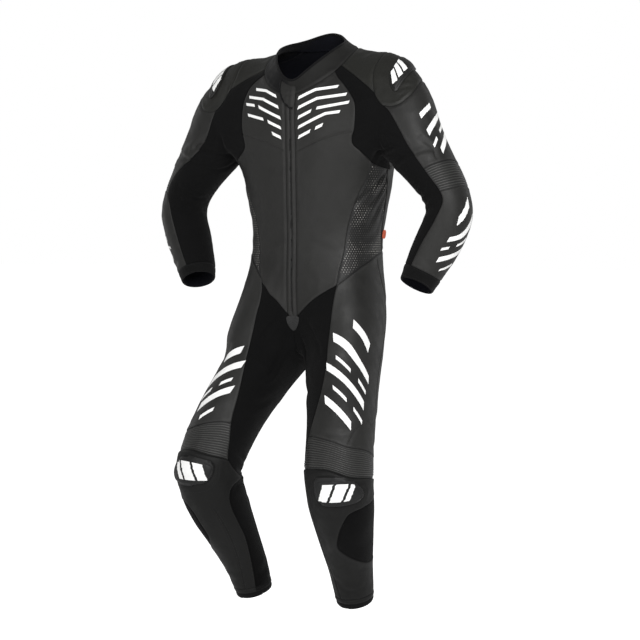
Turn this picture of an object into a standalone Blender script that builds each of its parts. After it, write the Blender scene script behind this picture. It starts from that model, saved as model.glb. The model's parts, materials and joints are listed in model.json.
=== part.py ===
"""One-piece leather motorcycle race suit, standing empty in its worn shape.

Units in the tables are millimetres and degrees; the mesh is in metres.
X = wearer's left, -Y = wearer's front, +Z up.  Origin: centre of the neck base.
The shell is one subdivided surface, cut along the seam tables into sewn pieces;
each piece is then given its own thickness and kept 0.3 mm from its neighbours.
"""
import bpy
import bmesh
import math
import numpy as np
from mathutils import Vector
from mathutils.bvhtree import BVHTree
from mathutils.geometry import delaunay_2d_cdt

# ------------------------------------------------------------------ sizes
SEAM_GAP = 0.3            # between two sewn pieces
LAY_GAP = 0.45            # between a piece and what lies on it
END_RUN = 45.0            # how far an open seam is run on to meet the next one
THIN = 5.0                # how flat the faceted cloth must be for an inner point to be left out
BODY_CENTRE_Y = -10.0     # axis that the torso angles are measured round
WALL = {"leather": 1.6, "stretch": 1.4, "rib": 2.6, "collar": 2.8, "side": 1.6, "cuff": 2.0}

# cloth of each kind of piece (leather where none is named), and its linear colour and roughness
MADE_OF = {"collar": "neoprene", "stretch": "stretch", "groin": "stretch", "calf": "stretch", "cuff": "stretch", "hem": "stretch",
           "elbow_rib": "ribbed", "knee_rib": "ribbed", "side": "perforated", "shoulder_cap": "hard", "knee_slider": "puck",
           "side_tab": "webbing", "zip_flap": "neoprene", "gusset": "grey"}
FINISH = {"leather": ((0.040, 0.040, 0.038), 0.48), "perforated": ((0.045, 0.045, 0.045), 0.60), "stretch": ((0.010, 0.010, 0.011), 0.80),
          "ribbed": ((0.028, 0.028, 0.027), 0.52), "neoprene": ((0.012, 0.012, 0.013), 0.70), "hard": ((0.014, 0.014, 0.014), 0.30),
          "puck": ((0.016, 0.016, 0.016), 0.42), "webbing": ((0.72, 0.11, 0.035), 0.60), "grey": ((0.11, 0.11, 0.11), 0.70)}

# torso rings: half of each, from front centre (column 0) to back centre (column 8): x, y, z
TORSO = {
    "collar_top":  [(0, -126, -86), (34, -130, -60), (70, -88, -18), (86, -40, 9), (75, 2, 20), (55, 33, 29), (40, 51, 37), (22, 61, 44), (0, 65, 48)],
    "collar_base": [(0, -136, -118), (54, -134, -100), (98, -98, -66), (110, -50, -27), (103, -4, -1), (86, 38, 9), (68, 66, 9), (36, 84, 8), (0, 88, 7)],
    "slope":       [(0, -138, -160), (66, -140, -140), (128, -114, -102), (160, -64, -39), (164, -4, -8), (152, 50, -8), (116, 88, -27), (60, 102, -28), (0, 106, -28)],
    "shoulder":    [(0, -135, -205), (80, -140, -190), (154, -116, -160), (206, -84, -58), (234, -24, 0), (214, 46, -26), (172, 98, -90), (92, 114, -92), (0, 118, -88)],
    "armhole":     [(0, -132, -250), (86, -138, -245), (162, -112, -215), (206, -60, -160), (218, 0, -120), (206, 50, -150), (176, 100, -170), (96, 122, -170), (0, 126, -170)],
    "chest":       [(0, -132, -305), (84, -134, -298), (158, -98, -277), (186, -52, -264), (194, -6, -260), (186, 46, -262), (162, 94, -270), (92, 120, -275), (0, 126, -278)],
    "ribs":        [(0, -131, -375), (80, -128, -372), (144, -90, -368), (172, -46, -364), (180, 0, -362), (173, 48, -362), (147, 90, -362), (84, 114, -362), (0, 120, -362)],
    "waist":       [(0, -129, -455), (72, -123, -455), (128, -86, -455), (151, -44, -455), (157, 0, -455), (151, 44, -455), (128, 82, -455), (74, 104, -455), (0, 109, -455)],
    "hip":         [(0, -131, -550), (74, -136, -548), (134, -112, -545), (161, -66, -542), (170, -14, -540), (163, 38, -540), (136, 82, -542), (76, 106, -546), (0, 107, -548)],
    "seat":        [(0, -116, -640), (80, -146, -638), (148, -142, -632), (181, -96, -626), (190, -36, -622), (179, 26, -622), (146, 78, -626), (80, 108, -632), (0, 88, -640)],
    "crotch":      [(0, -88, -700), (82, -158, -714), (154, -176, -706), (194, -128, -696), (202, -62, -690), (186, 8, -688), (148, 66, -692), (84, 92, -698), (0, 54, -700)],
}
CROTCH_STRIP = [(0, -70, -708), (0, -28, -714), (0, 18, -710)]

# limb rings down each sleeve and leg: centre x, y, z, radius across, radius fore and aft,
# and how far the ring leans over towards the body (deg)
ARM = [
    ("armhole", 253, -30, -172, 97, 78, 33),
    ("upper",   277, -34, -221, 79, 74, 18),
    ("biceps",  308, -36, -270, 64, 68, 8),
    ("above",   353, -32, -330, 55, 61, 0),
    ("elbow",   377, -30, -390, 56, 60, 0),
    ("forearm", 351, -38, -452, 57, 57, 0),
    ("lower",   320, -54, -516, 48, 49, 0),
    ("cuff",    302, -68, -562, 41, 43, 0),
]
# line that the sleeve measures run along, from the shoulder point: x, y, z
ARM_LINE = [(230, -32, -120), (259, -36, -194), (306, -36, -268), (351, -32, -330), (377, -30, -390),
            (351, -38, -452), (320, -54, -516), (302, -68, -562)]
LEG = [
    ("thigh_top", 120, -92, -782, 81, 97, 0),
    ("thigh",     150, -150, -862, 79, 86, 0),
    ("above",     169, -196, -942, 77, 83, 0),
    ("knee",      181, -222, -1012, 80, 84, 0),
    ("below",     174, -190, -1082, 75, 78, 0),
    ("calf",      158, -140, -1166, 60, 62, 0),
    ("shin",      146, -92, -1250, 49, 51, 0),
    ("hem",       141, -70, -1312, 44, 47, 0),
]

LEG_LINE = [row[1:4] for row in LEG]

# seams.  Rows are (where, along, left, right):
#   torso: height z, angle round from front centre, left and right side
#   level: angle, then the height on the left and on the right side
#   arm / leg: distance down the limb from its first ring, then the angle round it
#              (0 outward, 90 to the front, 180 inward, negative to the back)
#   armr / legr: angle, then the distance down the limb left and right
#   top: y, then x left and right, seen from above
#   mid: a point of the centre line, y and z
SEAMS = {
    "front_edge": [("torso", -52, 50, 45), ("torso", -72, 51, 53), ("torso", -91, 54, 55), ("torso", -118, 57, 55),
                   ("torso", -144, 58, 54), ("torso", -192, 57, 52), ("torso", -216, 56, 51), ("torso", -234, 57, 51),
                   ("torso", -250, 62, 56), ("torso", -266, 69, 66), ("torso", -277, 75, 74), ("torso", -285, 86, 86),
                   ("torso", -288, 96, 96)],
    "side_front": [("torso", -266, 74, 72), ("torso", -308, 72, 66), ("torso", -346, 67, 60), ("torso", -395, 62, 51),
                   ("torso", -440, 59, 47), ("torso", -484, 56, 43), ("torso", -529, 50, 38), ("torso", -562, 47, 33)],
    "v_edge": [("torso", -556, 50, 35), ("torso", -562, 47, 32), ("torso", -573, 40, 28), ("torso", -585, 33, 25),
               ("torso", -600, 25, 18), ("torso", -627, 12, 8), ("torso", -645, 2, 0)],
    "waist": [("level", 40, -574, -535), ("level", 47, -562, -518), ("level", 62, -534, -495), ("level", 75, -514, -486),
              ("level", 89, -497, -480), ("level", 111, -483, -476), ("level", 140, -474, -474), ("level", 165, -471, -471),
              ("level", 184, -471, -471)],
    "side_back": [("torso", -275, 92, 92), ("torso", -302, 94, 94), ("torso", -375, 101, 101), ("torso", -433, 103, 103),
                  ("torso", -500, 107, 107)],
    "stretch_outer": [("torso", -26, 53, 46), ("torso", -40, 58, 54), ("torso", -69, 63, 65), ("arm", -10, 107, 96),
                      ("arm", 20, 98, 96), ("arm", 45, 86, 97), ("arm", 90, 80, 99), ("arm", 140, 81, 93),
                      ("arm", 185, 81, 78), ("arm", 230, 81, 67), ("arm", 262, 78, 70), ("arm", 290, 83, 90),
                      ("arm", 345, 101, 98), ("arm", 408, 107, 93), ("arm", 440, 108, 92), ("arm", 490, 108, 96)],
    "stretch_back": [("torso", -296, 100, 100), ("torso", -280, 97, 97), ("arm", 128, -162, -162), ("arm", 150, -153, -153), ("arm", 185, -146, -146), ("arm", 250, -142, -142),
                     ("arm", 330, -140, -140), ("arm", 400, -140, -140), ("arm", 490, -140, -140)],
    "armhole": [("arm", 36, 88, 92), ("arm", 20, 99, 99), ("arm", -7, 107, 107), ("arm", -33, 109, 109), ("arm", -68, 110, 110),
                ("top", -41, 192, 192), ("top", -5, 190, 190), ("top", 30, 189, 189), ("arm", -58, -96, -96),
                ("arm", -20, -98, -98), ("arm", 25, -103, -103), ("arm", 58, -108, -108), ("torso", -232, 118, 118),
                ("torso", -262, 107, 107), ("torso", -288, 97, 97)],
    "cup_out": [("arm", 20, 103, 103), ("arm", 34, 84, 84), ("arm", 37, 66, 66), ("arm", 28, 46, 46), ("arm", 12, 24, 24),
                ("arm", -8, 2, 2), ("arm", -18, -25, -25), ("arm", -24, -52, -52), ("arm", -34, -78, -78),
                ("arm", -46, -102, -102)],
    "yoke_back": [("top", 54, 66, 66), ("top", 60, 92, 92), ("top", 60, 130, 130), ("top", 50, 170, 170), ("top", 40, 198, 198)],
    "elbow_top": [("armr", 98, 199, 199), ("armr", 80, 201, 201), ("armr", 50, 207, 207), ("armr", 5, 215, 215),
                  ("armr", -45, 225, 225), ("armr", -100, 228, 228), ("armr", -152, 222, 222)],
    "elbow_bottom": [("armr", 98, 260, 260), ("armr", 80, 264, 264), ("armr", 45, 270, 270), ("armr", 5, 273, 273),
                     ("armr", -45, 278, 278), ("armr", -100, 282, 282), ("armr", -152, 280, 280)],
    "hip_side": [("torso", -462, 124, 124), ("torso", -500, 126, 126), ("torso", -560, 129, 129), ("torso", -620, 130, 130),
                 ("leg", 5, -76, -76), ("leg", 60, -76, -76), ("leg", 130, -76, -76), ("leg", 200, -78, -78),
                 ("leg", 250, -84, -84), ("leg", 278, -94, -94)],
    "groin_front": [("torso", -552, 49, 35), ("torso", -571, 46, 33), ("torso", -606, 43, 33), ("torso", -640, 41, 34),
                    ("leg", -14, 75, 88), ("leg", 30, 79, 98), ("leg", 64, 84, 107), ("leg", 100, 92, 117),
                    ("leg", 150, 108, 128), ("leg", 190, 124, 140), ("leg", 232, 146, 152), ("leg", 248, 172, 174),
                    ("leg", 262, -165, -165), ("leg", 272, -130, -130), ("leg", 272, -88, -88), ("leg", 262, -70, -70)],
    "groin_back": [("leg", 10, -134, -134), ("leg", 60, -130, -130), ("leg", 130, -127, -127), ("leg", 200, -126, -126),
                   ("leg", 285, -120, -120)],
    "knee_top": [("legr", 150, 176, 152), ("legr", 118, 184, 162), ("legr", 95, 195, 174), ("legr", 66, 210, 191),
                 ("legr", 42, 219, 200), ("legr", 10, 214, 196), ("legr", -21, 209, 192), ("legr", -60, 205, 190),
                 ("legr", -90, 205, 190)],
    "knee_bottom": [("legr", 170, 244, 235), ("legr", 150, 246, 236), ("legr", 118, 252, 240), ("legr", 80, 258, 240),
                    ("legr", 36, 263, 245), ("legr", -21, 267, 250), ("legr", -60, 268, 252), ("legr", -96, 268, 252)],
    "calf_edge": [("leg", 622, -160, -160), ("leg", 590, -158, -158), ("leg", 552, -148, -148), ("leg", 518, -120, -120),
                  ("leg", 504, -80, -80), ("leg", 498, -38, -38), ("leg", 486, 8, 8), ("leg", 456, 42, 42),
                  ("leg", 426, 65, 65), ("leg", 402, 74, 76), ("leg", 366, 68, 76), ("leg", 332, 57, 72),
                  ("leg", 312, 42, 60), ("leg", 312, 12, 30), ("leg", 320, -18, -5), ("leg", 320, -60, -60),
                  ("leg", 312, -110, -110), ("leg", 303, -155, -155), ("leg", 302, 172, 172), ("leg", 316, 156, 156),
                  ("leg", 350, 149, 149), ("leg", 400, 148, 148), ("leg", 443, 149, 149), ("leg", 496, 143, 143),
                  ("leg", 560, 133, 133), ("leg", 622, 128, 128)],
}
CLOSED = set()

# plain round seams: constant distance down the limb
CUFF_AT = 468
HEM_AT = 590
# zip and its placket, front centre
ZIP = {"half_width": 13, "foot": -632}
SEAT_FOLD = [("leg", 22, -66), ("leg", 26, -90), ("leg", 24, -125), ("leg", 8, -150), ("mid", 18, -721)]
CROTCH_LINE = [(-650, -140), (-690, -110), (-716, -80), (-726, -30), (-722, 20), (-706, 60)]   # z, y of the centre line


# ------------------------------------------------------------------ cage
def limb_frame(points, i, side):
    if i == 0:
        t = points[1] - points[0]
    elif i == len(points) - 1:
        t = points[i] - points[i - 1]
    else:
        a = points[i + 1] - points[i]
        b = points[i] - points[i - 1]
        t = a / np.linalg.norm(a) + b / np.linalg.norm(b)
    return axes_across(t, side)


def axes_across(t, side):
    """Unit vectors across a limb: outward, to the front, and along it."""
    t = t / np.linalg.norm(t)
    front = np.array([0.0, -1.0, 0.0])
    v = front - t * (front @ t)
    v /= np.linalg.norm(v)
    u = np.cross(v, t)
    if u[0] * side < 0:
        u = -u
    return u, v, t


def build_cage():
    verts, faces, where = [], [], []
    names = list(TORSO)
    index = {}
    for r, name in enumerate(names):
        half = TORSO[name]
        for k in range(16):
            x, y, z = half[k] if k <= 8 else half[16 - k]
            index[r, k] = len(verts)
            verts.append((x if k <= 8 else -x, y, z))
    strip = []
    for p in CROTCH_STRIP:
        strip.append(len(verts))
        verts.append(p)
    hole = {2, 3, 4, 5, 10, 11, 12, 13}
    top, mid, low = names.index("shoulder"), names.index("armhole"), names.index("chest")
    for r in range(len(names) - 1):
        for k in range(16):
            if k in hole and top <= r < low:
                continue
            n = (k + 1) % 16
            faces.append((index[r, k], index[r + 1, k], index[r + 1, n], index[r, n]))
            where.append("collar" if r == 0 else "torso")
    last = len(names) - 1
    for side, tag in ((1, "_l"), (-1, "_r")):
        def col(k):
            return k if side == 1 else (16 - k) % 16
        loop = [index[top, col(4)], index[top, col(3)], index[top, col(2)], index[mid, col(2)], index[low, col(2)],
                index[low, col(3)], index[low, col(4)], index[low, col(5)], index[low, col(6)], index[mid, col(6)],
                index[top, col(6)], index[top, col(5)]]
        add_limb(verts, faces, where, loop, ARM, side, "arm" + tag)
        loop = [index[last, col(4)], index[last, col(3)], index[last, col(2)], index[last, col(1)], index[last, col(0)],
                strip[0], strip[1], strip[2], index[last, col(8)], index[last, col(7)], index[last, col(6)], index[last, col(5)]]
        add_limb(verts, faces, where, loop, LEG, side, "leg" + tag)
    verts, faces = np.array(verts, float), np.array(faces)
    used = np.unique(faces)
    number = np.zeros(len(verts), int)
    number[used] = np.arange(len(used))
    return verts[used], number[faces], where


def add_limb(verts, faces, where, loop, table, side, tag):
    n = 12
    points = [np.array((side * row[1], row[2], row[3]), float) for row in table]
    shrink = 2 / 3 + math.cos(2 * math.pi / n) / 3      # what subdivision takes off a 12-sided ring
    before = loop
    for i, row in enumerate(table):
        u, v, t = limb_frame(points, i, side)
        lean = math.radians(row[6])
        u = u * math.cos(lean) - t * math.sin(lean)
        ring = []
        for j in range(n):
            a = 2 * math.pi * j / n
            ring.append(len(verts))
            verts.append(tuple(points[i] + u * (row[4] / shrink * math.cos(a)) + v * (row[5] / shrink * math.sin(a))))
        for j in range(n):
            m = (j + 1) % n
            q = (before[j], before[m], ring[m], ring[j])
            faces.append(q if side == 1 else q[::-1])
            where.append(tag)
        before = ring


def subdivide(V, F, where):
    """One Catmull-Clark step on an all-quad mesh; the old vertices keep their numbers."""
    nv = len(V)
    pairs = np.stack([F, np.roll(F, -1, 1)], 2).reshape(-1, 2)
    key = np.sort(pairs, 1)
    edges, inv = np.unique(key, axis=0, return_inverse=True)
    inv = inv.reshape(-1, 4)
    centre = V[F].mean(1)
    mid = (V[edges[:, 0]] + V[edges[:, 1]]) / 2
    uses = np.bincount(inv.ravel(), minlength=len(edges))
    total = np.zeros_like(mid)
    for k in range(4):
        np.add.at(total, inv[:, k], centre)
    inner = uses == 2
    epoint = mid.copy()
    epoint[inner] = (2 * mid[inner] + total[inner]) / 4
    valence = np.bincount(F.ravel(), minlength=nv).astype(float)
    q = np.zeros_like(V)
    for k in range(4):
        np.add.at(q, F[:, k], centre)
    r = np.zeros_like(V)
    ne = np.zeros(nv)
    for k in range(2):
        np.add.at(r, edges[:, k], mid)
        np.add.at(ne, edges[:, k], 1)
    rim = np.zeros_like(V)
    border = np.zeros(nv)
    for k in range(2):
        np.add.at(rim, edges[~inner, k], mid[~inner])
        np.add.at(border, edges[~inner, k], 1)
    n = valence[:, None]
    new = (q / n + 2 * r / ne[:, None] + (n - 3) * V) / n
    on = border > 0
    new[on] = (V[on] + rim[on] / border[on, None]) / 2
    verts = np.concatenate([new, epoint, centre])
    e = nv + inv
    c = nv + len(edges) + np.arange(len(F))
    faces = np.concatenate([np.stack([F[:, k], e[:, k], c, e[:, k - 1]], 1) for k in range(4)])
    order = np.arange(len(F))
    return verts, faces, [where[i] for i in np.concatenate([order] * 4)]


# ------------------------------------------------------------------ garment coordinates
class Form:
    """The smooth shell and the way to find a point on it from garment measures."""

    def __init__(self, V, F, where):
        self.V, self.F, self.where = V, F, where
        self.tree = {}
        groups = {"arm_l": ("arm_l", "torso", "collar"), "arm_r": ("arm_r", "torso", "collar"), "leg_l": ("leg_l", "torso"),
                  "leg_r": ("leg_r", "torso"), "torso": ("torso", "collar", "arm_l", "arm_r", "leg_l", "leg_r")}
        tags = np.array(where)
        for name, use in groups.items():
            keep = np.isin(tags, use)
            self.tree[name] = BVHTree.FromPolygons([Vector(p) for p in V], [tuple(int(i) for i in f) for f in F[keep]])
        self.axis = {}
        for limb, table in (("arm", ARM_LINE), ("leg", LEG_LINE)):
            for tag, side in (("_l", 1), ("_r", -1)):
                self.axis[limb + tag] = (smooth_axis(table, side), side)

    def on_axis(self, limb, along):
        line, side = self.axis[limb]
        step = np.linalg.norm(np.diff(line, axis=0), axis=1)
        length = np.concatenate([[0], np.cumsum(step)])
        i = int(np.clip(np.searchsorted(length, along) - 1, 0, len(step) - 1))
        t = (along - length[i]) / step[i]
        d = line[i + 1] - line[i]
        return line[i] + d * t, axes_across(d, side)

    def at(self, where, along, angle, tag):
        side = 1 if tag == "_l" else -1
        if where == "level" or where == "armr" or where == "legr":
            where, along, angle = {"level": "torso", "armr": "arm", "legr": "leg"}[where], angle, along
        if where == "mid":
            return self.nearest(np.array([0.0, along, angle]))
        if where == "torso":
            a = math.radians(angle)
            o = np.array([0.0, BODY_CENTRE_Y, along])
            d = np.array([side * math.sin(a), -math.cos(a), 0.0])
            hit = self.tree["torso"].ray_cast(Vector(o), Vector(d))
        elif where == "top":
            o = np.array([side * angle, along, 120.0])
            hit = self.tree["torso"].ray_cast(Vector(o), Vector((0, 0, -1)))
        else:
            o, (u, v, _) = self.on_axis(where + tag, along)
            a = math.radians(angle)
            d = u * math.cos(a) + v * math.sin(a)
            hit = self.tree[where + tag].ray_cast(Vector(o), Vector(d))
            if hit[0] is None:
                hit = self.tree[where + tag].find_nearest(Vector(o + d * 45))
        if hit[0] is None:
            raise ValueError("no surface at %s %s %s" % (where, along, angle))
        return np.array(hit[0])

    def nearest(self, p):
        return np.array(self.tree["torso"].find_nearest(Vector(p))[0])

    def normal(self, p):
        return np.array(self.tree["torso"].find_nearest(Vector(p))[1])


def smooth_axis(table, side, n=6):
    P = np.array([(side * x, y, z) for x, y, z in table], float)
    out = [P[0]]
    for i in range(len(P) - 1):
        a, b, c, d = P[max(i - 1, 0)], P[i], P[i + 1], P[min(i + 2, len(P) - 1)]
        for k in range(1, n + 1):
            t = k / n
            out.append(0.5 * (2 * b + (c - a) * t + (2 * a - 5 * b + 4 * c - d) * t * t + (3 * b - a - 3 * c + d) * t ** 3))
    return np.array(out)


def seam_line(form, rows, tag, closed=False, step=6.0):
    """Seam as a smooth run of points on the shell."""
    P = [form.at(w, a, b, tag) for w, a, b in rows]
    n = len(P)
    out = []
    for i in range(n if closed else n - 1):
        a, b, c, d = (P[(i - 1) % n], P[i], P[(i + 1) % n], P[(i + 2) % n]) if closed else \
            (P[max(i - 1, 0)], P[i], P[i + 1], P[min(i + 2, n - 1)])
        k = max(2, int(np.linalg.norm(c - b) / step))
        for j in range(k):
            t = j / k
            out.append(0.5 * (2 * b + (c - a) * t + (2 * a - 5 * b + 4 * c - d) * t * t + (3 * b - a - 3 * c + d) * t ** 3))
    if not closed:
        out.append(P[-1])
    return np.array([form.nearest(p) for p in out])


def lengthen(line, by):
    """Runs an open seam on past both ends so that it meets the seams it ends on."""
    a = line[0] - line[2]
    b = line[-1] - line[-3]
    return np.concatenate([[line[0] + a / np.linalg.norm(a) * by], line, [line[-1] + b / np.linalg.norm(b) * by]])


# ------------------------------------------------------------------ cutting the shell
class Shell:
    def __init__(self, V, F, where):
        self.V = [np.array(p) for p in V]
        self.N = list(vertex_normals(V, F))
        self.faces = [list(map(int, f)) for f in F]
        self.where = list(where)
        self.locked = set()
        self.cuts = set()

    def distance(self, line, closed, reach, parts, facing):
        """Signed distance of the vertices near a seam line; its ends count as outside."""
        V = np.array(self.V)
        N = np.array(self.N)
        A = line
        B = np.roll(line, -1, 0)
        if not closed:
            A, B = line[:-1], line[1:]
        T = B - A
        node = np.zeros_like(line)
        if closed:
            node = np.roll(T, 1, 0) + T
        else:
            node[:-1] += T
            node[1:] += T
        node /= np.linalg.norm(node, axis=1)[:, None]
        ok = np.zeros(len(V), bool)
        for f, w in zip(self.faces, self.where):
            if w in parts:
                ok[f] = True
        lo, hi = line.min(0) - reach, line.max(0) + reach
        ok &= ((V > lo) & (V < hi)).all(1)
        d = np.full(len(V), np.nan)
        ids = np.flatnonzero(ok)
        L2 = (T * T).sum(1)
        last = len(A) - 1
        for i in ids:
            p = V[i]
            t = np.clip(((p - A) * T).sum(1) / L2, 0, 1)
            q = A + T * t[:, None]
            r = ((p - q) ** 2).sum(1)
            k = int(np.argmin(r))
            if r[k] > reach * reach or max(N[i] @ facing[k], N[i] @ facing[min(k + 1, len(line) - 1)]) < 0.15:
                continue
            if not closed and ((k == 0 and t[k] <= 0) or (k == last and t[k] >= 1)):
                continue
            k2 = (k + 1) % len(line)
            tangent = node[k] * (1 - t[k]) + node[k2] * t[k]
            side = np.cross(N[i], tangent) @ (p - q[k])
            d[i] = math.sqrt(r[k]) * (1 if side >= 0 else -1)
        return d

    def cut(self, line, form, closed=False, reach=62.0, parts=(), snap=0.3):
        if not closed:
            line = lengthen(line, END_RUN)
        facing = [form.normal(p) for p in line]
        d = self.distance(line, closed, reach, parts, facing)
        crossing = {}
        for f in self.faces:
            for a, b in zip(f, f[1:] + f[:1]):
                da, db = d[a], d[b]
                if da == da and db == db and da * db < 0:
                    crossing[min(a, b), max(a, b)] = 0
        rank = []
        for a, b in crossing:
            t = d[a] / (d[a] - d[b])
            rank.append((min(t, 1 - t), a, b, t))
        rank.sort()
        for r, a, b, t in rank:
            if r > snap:
                break
            if d[a] * d[b] >= 0:
                continue
            v = a if t < 0.5 else b
            if v not in self.locked:
                w = b if v == a else a
                tv = t if v == a else 1 - t
                self.V[v] = self.V[v] * (1 - tv) + self.V[w] * tv
                self.N[v] = self.N[v] * (1 - tv) + self.N[w] * tv
                self.N[v] /= np.linalg.norm(self.N[v])
            elif r > 0.5 * snap:
                continue
            d[v] = 0.0
            self.locked.add(v)
        made = {}
        new_faces, new_where = [], []
        for f, w in zip(self.faces, self.where):
            df = d[f]
            if not (np.nanmin(df) < 0 < np.nanmax(df) if np.isfinite(df).any() else False):
                if np.isfinite(df).any() and (df == 0).sum() >= 2:
                    for a, b in zip(f, f[1:] + f[:1]):
                        if d[a] == 0 and d[b] == 0:
                            self.cuts.add((min(a, b), max(a, b)))
                new_faces.append(f)
                new_where.append(w)
                continue
            loop, marks = [], []
            for a, b in zip(f, f[1:] + f[:1]):
                if d[a] == 0:
                    marks.append(len(loop))
                loop.append(a)
                da, db = d[a], d[b]
                if da == da and db == db and da * db < 0:
                    key = (min(a, b), max(a, b))
                    if key not in made:
                        t = da / (da - db)
                        made[key] = len(self.V)
                        self.V.append(self.V[a] * (1 - t) + self.V[b] * t)
                        m = self.N[a] * (1 - t) + self.N[b] * t
                        self.N.append(m / np.linalg.norm(m))
                        self.locked.add(made[key])
                        if key in self.cuts:
                            self.cuts.add((min(a, made[key]), max(a, made[key])))
                            self.cuts.add((min(b, made[key]), max(b, made[key])))
                    marks.append(len(loop))
                    loop.append(made[key])
            if len(marks) == 2:
                i, j = marks
                if j - i > 1 and not (i == 0 and j == len(loop) - 1):
                    new_faces += [loop[i:j + 1], loop[j:] + loop[:i + 1]]
                    new_where += [w, w]
                else:
                    new_faces.append(loop)
                    new_where.append(w)
                self.cuts.add((min(loop[i], loop[j]), max(loop[i], loop[j])))
            else:
                new_faces.append(loop)
                new_where.append(w)
        self.faces, self.where = new_faces, new_where

    def regions(self):
        """Number of the sewn region of each face."""
        owner = {}
        for i, f in enumerate(self.faces):
            for a, b in zip(f, f[1:] + f[:1]):
                owner.setdefault((min(a, b), max(a, b)), []).append(i)
        parent = list(range(len(self.faces)))

        def find(i):
            while parent[i] != i:
                parent[i] = parent[parent[i]]
                i = parent[i]
            return i
        self.owner = owner
        for key, use in owner.items():
            if len(use) == 2 and key not in self.cuts:
                if ("collar" in (self.where[use[0]], self.where[use[1]])) and self.where[use[0]] != self.where[use[1]]:
                    continue
                a, b = find(use[0]), find(use[1])
                if a != b:
                    parent[a] = b
        return [find(i) for i in range(len(self.faces))]


def vertex_normals(V, F):
    fn = np.cross(V[F[:, 2]] - V[F[:, 0]], V[F[:, 3]] - V[F[:, 1]])
    N = np.zeros_like(V)
    for k in range(4):
        np.add.at(N, F[:, k], fn)
    return N / np.linalg.norm(N, axis=1)[:, None]


# ------------------------------------------------------------------ solids
def inset_border(V, N, faces, amount):
    """Moves the border of an open patch inward along the surface."""
    nxt, count = {}, {}
    for f in faces:
        for a, b in zip(f, f[1:] + f[:1]):
            count[a, b] = 1
    border = [(a, b) for (a, b) in count if (b, a) not in count]
    for a, b in border:
        nxt.setdefault(a, []).append(b)
    prev = {}
    for a, b in border:
        prev.setdefault(b, []).append(a)
    out = dict()
    for a in nxt:
        if len(nxt[a]) != 1 or len(prev.get(a, [])) != 1:
            out[a] = V[a]
            continue
        b, c = nxt[a][0], prev[a][0]
        n = N[a]
        m1 = np.cross(n, V[b] - V[a])
        m2 = np.cross(n, V[a] - V[c])
        m1 /= max(np.linalg.norm(m1), 1e-9)
        m2 /= max(np.linalg.norm(m2), 1e-9)
        m = m1 + m2
        k = np.linalg.norm(m)
        if k < 0.3:
            out[a] = V[a] + m1 * amount
            continue
        m /= k
        out[a] = V[a] + m * (amount / max(m @ m1, 0.45))
    return out, border, nxt


def thin_out(V, N, faces, most):
    """Takes out inner points where the patch is within `most` of flat, never two that touch."""
    for limit in (most * 0.4, most * 0.6, most * 0.8, most):
        round_, edge = {}, set()
        count = {}
        for k, f in enumerate(faces):
            for a, b in zip(f, f[1:] + f[:1]):
                count[a, b] = k
            for a in f:
                round_.setdefault(a, []).append(k)
        for a, b in count:
            if (b, a) not in count:
                edge.update((a, b))
        rank = []
        for a, use in round_.items():
            if a in edge or len(use) > 7:
                continue
            near = sorted({b for k in use for b in faces[k]} - {a})
            off = (V[near] - V[a]) @ N[a]
            spread = np.linalg.norm(V[near] - V[a], axis=1)
            if np.abs(off).max() < limit and spread.max() < 62 and (N[near] @ N[a]).min() > 0.80:
                rank.append((float(np.abs(off).max()), a))
        rank.sort()
        taken, gone = set(), []
        for _, a in rank:
            if taken.isdisjoint(round_[a]):
                taken.update(round_[a])
                gone.append(a)
        out = [f for k, f in enumerate(faces) if k not in taken]
        for a in gone:
            step = {}
            for k in round_[a]:
                f = faces[k]
                for p, q in zip(f, f[1:] + f[:1]):
                    if a not in (p, q):
                        step[p] = q
            start = next(iter(step))
            loop, p = [start], step[start]
            while p != start:
                loop.append(p)
                p = step[p]
            out.append(loop)
        faces = triangulate(V, out)
    return faces


def triangulate(V, faces):
    bm = bmesh.new()
    used = sorted({i for f in faces for i in f})
    back = {}
    for i in used:
        v = bm.verts.new(V[i])
        back[v] = i
    look = {i: v for v, i in back.items()}
    for f in faces:
        try:
            bm.faces.new([look[i] for i in f])
        except ValueError:
            pass
    bmesh.ops.triangulate(bm, faces=bm.faces[:], quad_method="SHORT_EDGE", ngon_method="BEAUTY")
    out = [[back[v] for v in f.verts] for f in bm.faces]
    bm.free()
    return out


def finish_for(name):
    """One Principled material a piece, in the colour and finish of its cloth."""
    stem = name[:-2] if name[-2:] in ("_l", "_r") else name
    colour, rough = FINISH[MADE_OF.get(stem, "leather")]
    mat = bpy.data.materials.new(name)
    mat.use_nodes = True
    shader = next(n for n in mat.node_tree.nodes if n.type == "BSDF_PRINCIPLED")
    shader.inputs["Base Color"].default_value = (*colour, 1.0)
    shader.inputs["Roughness"].default_value = rough
    shader.inputs["Metallic"].default_value = 0.0
    mat.diffuse_color = (*colour, 1.0)
    return mat


def make_object(name, verts, faces):
    mesh = bpy.data.meshes.new(name)
    mesh.from_pydata([tuple(float(c) * 0.001 for c in v) for v in verts], [], [list(map(int, f)) for f in faces])
    mesh.update()
    mesh.materials.append(finish_for(name))
    obj = bpy.data.objects.new(name, mesh)
    bpy.context.scene.collection.objects.link(obj)
    return obj


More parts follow.
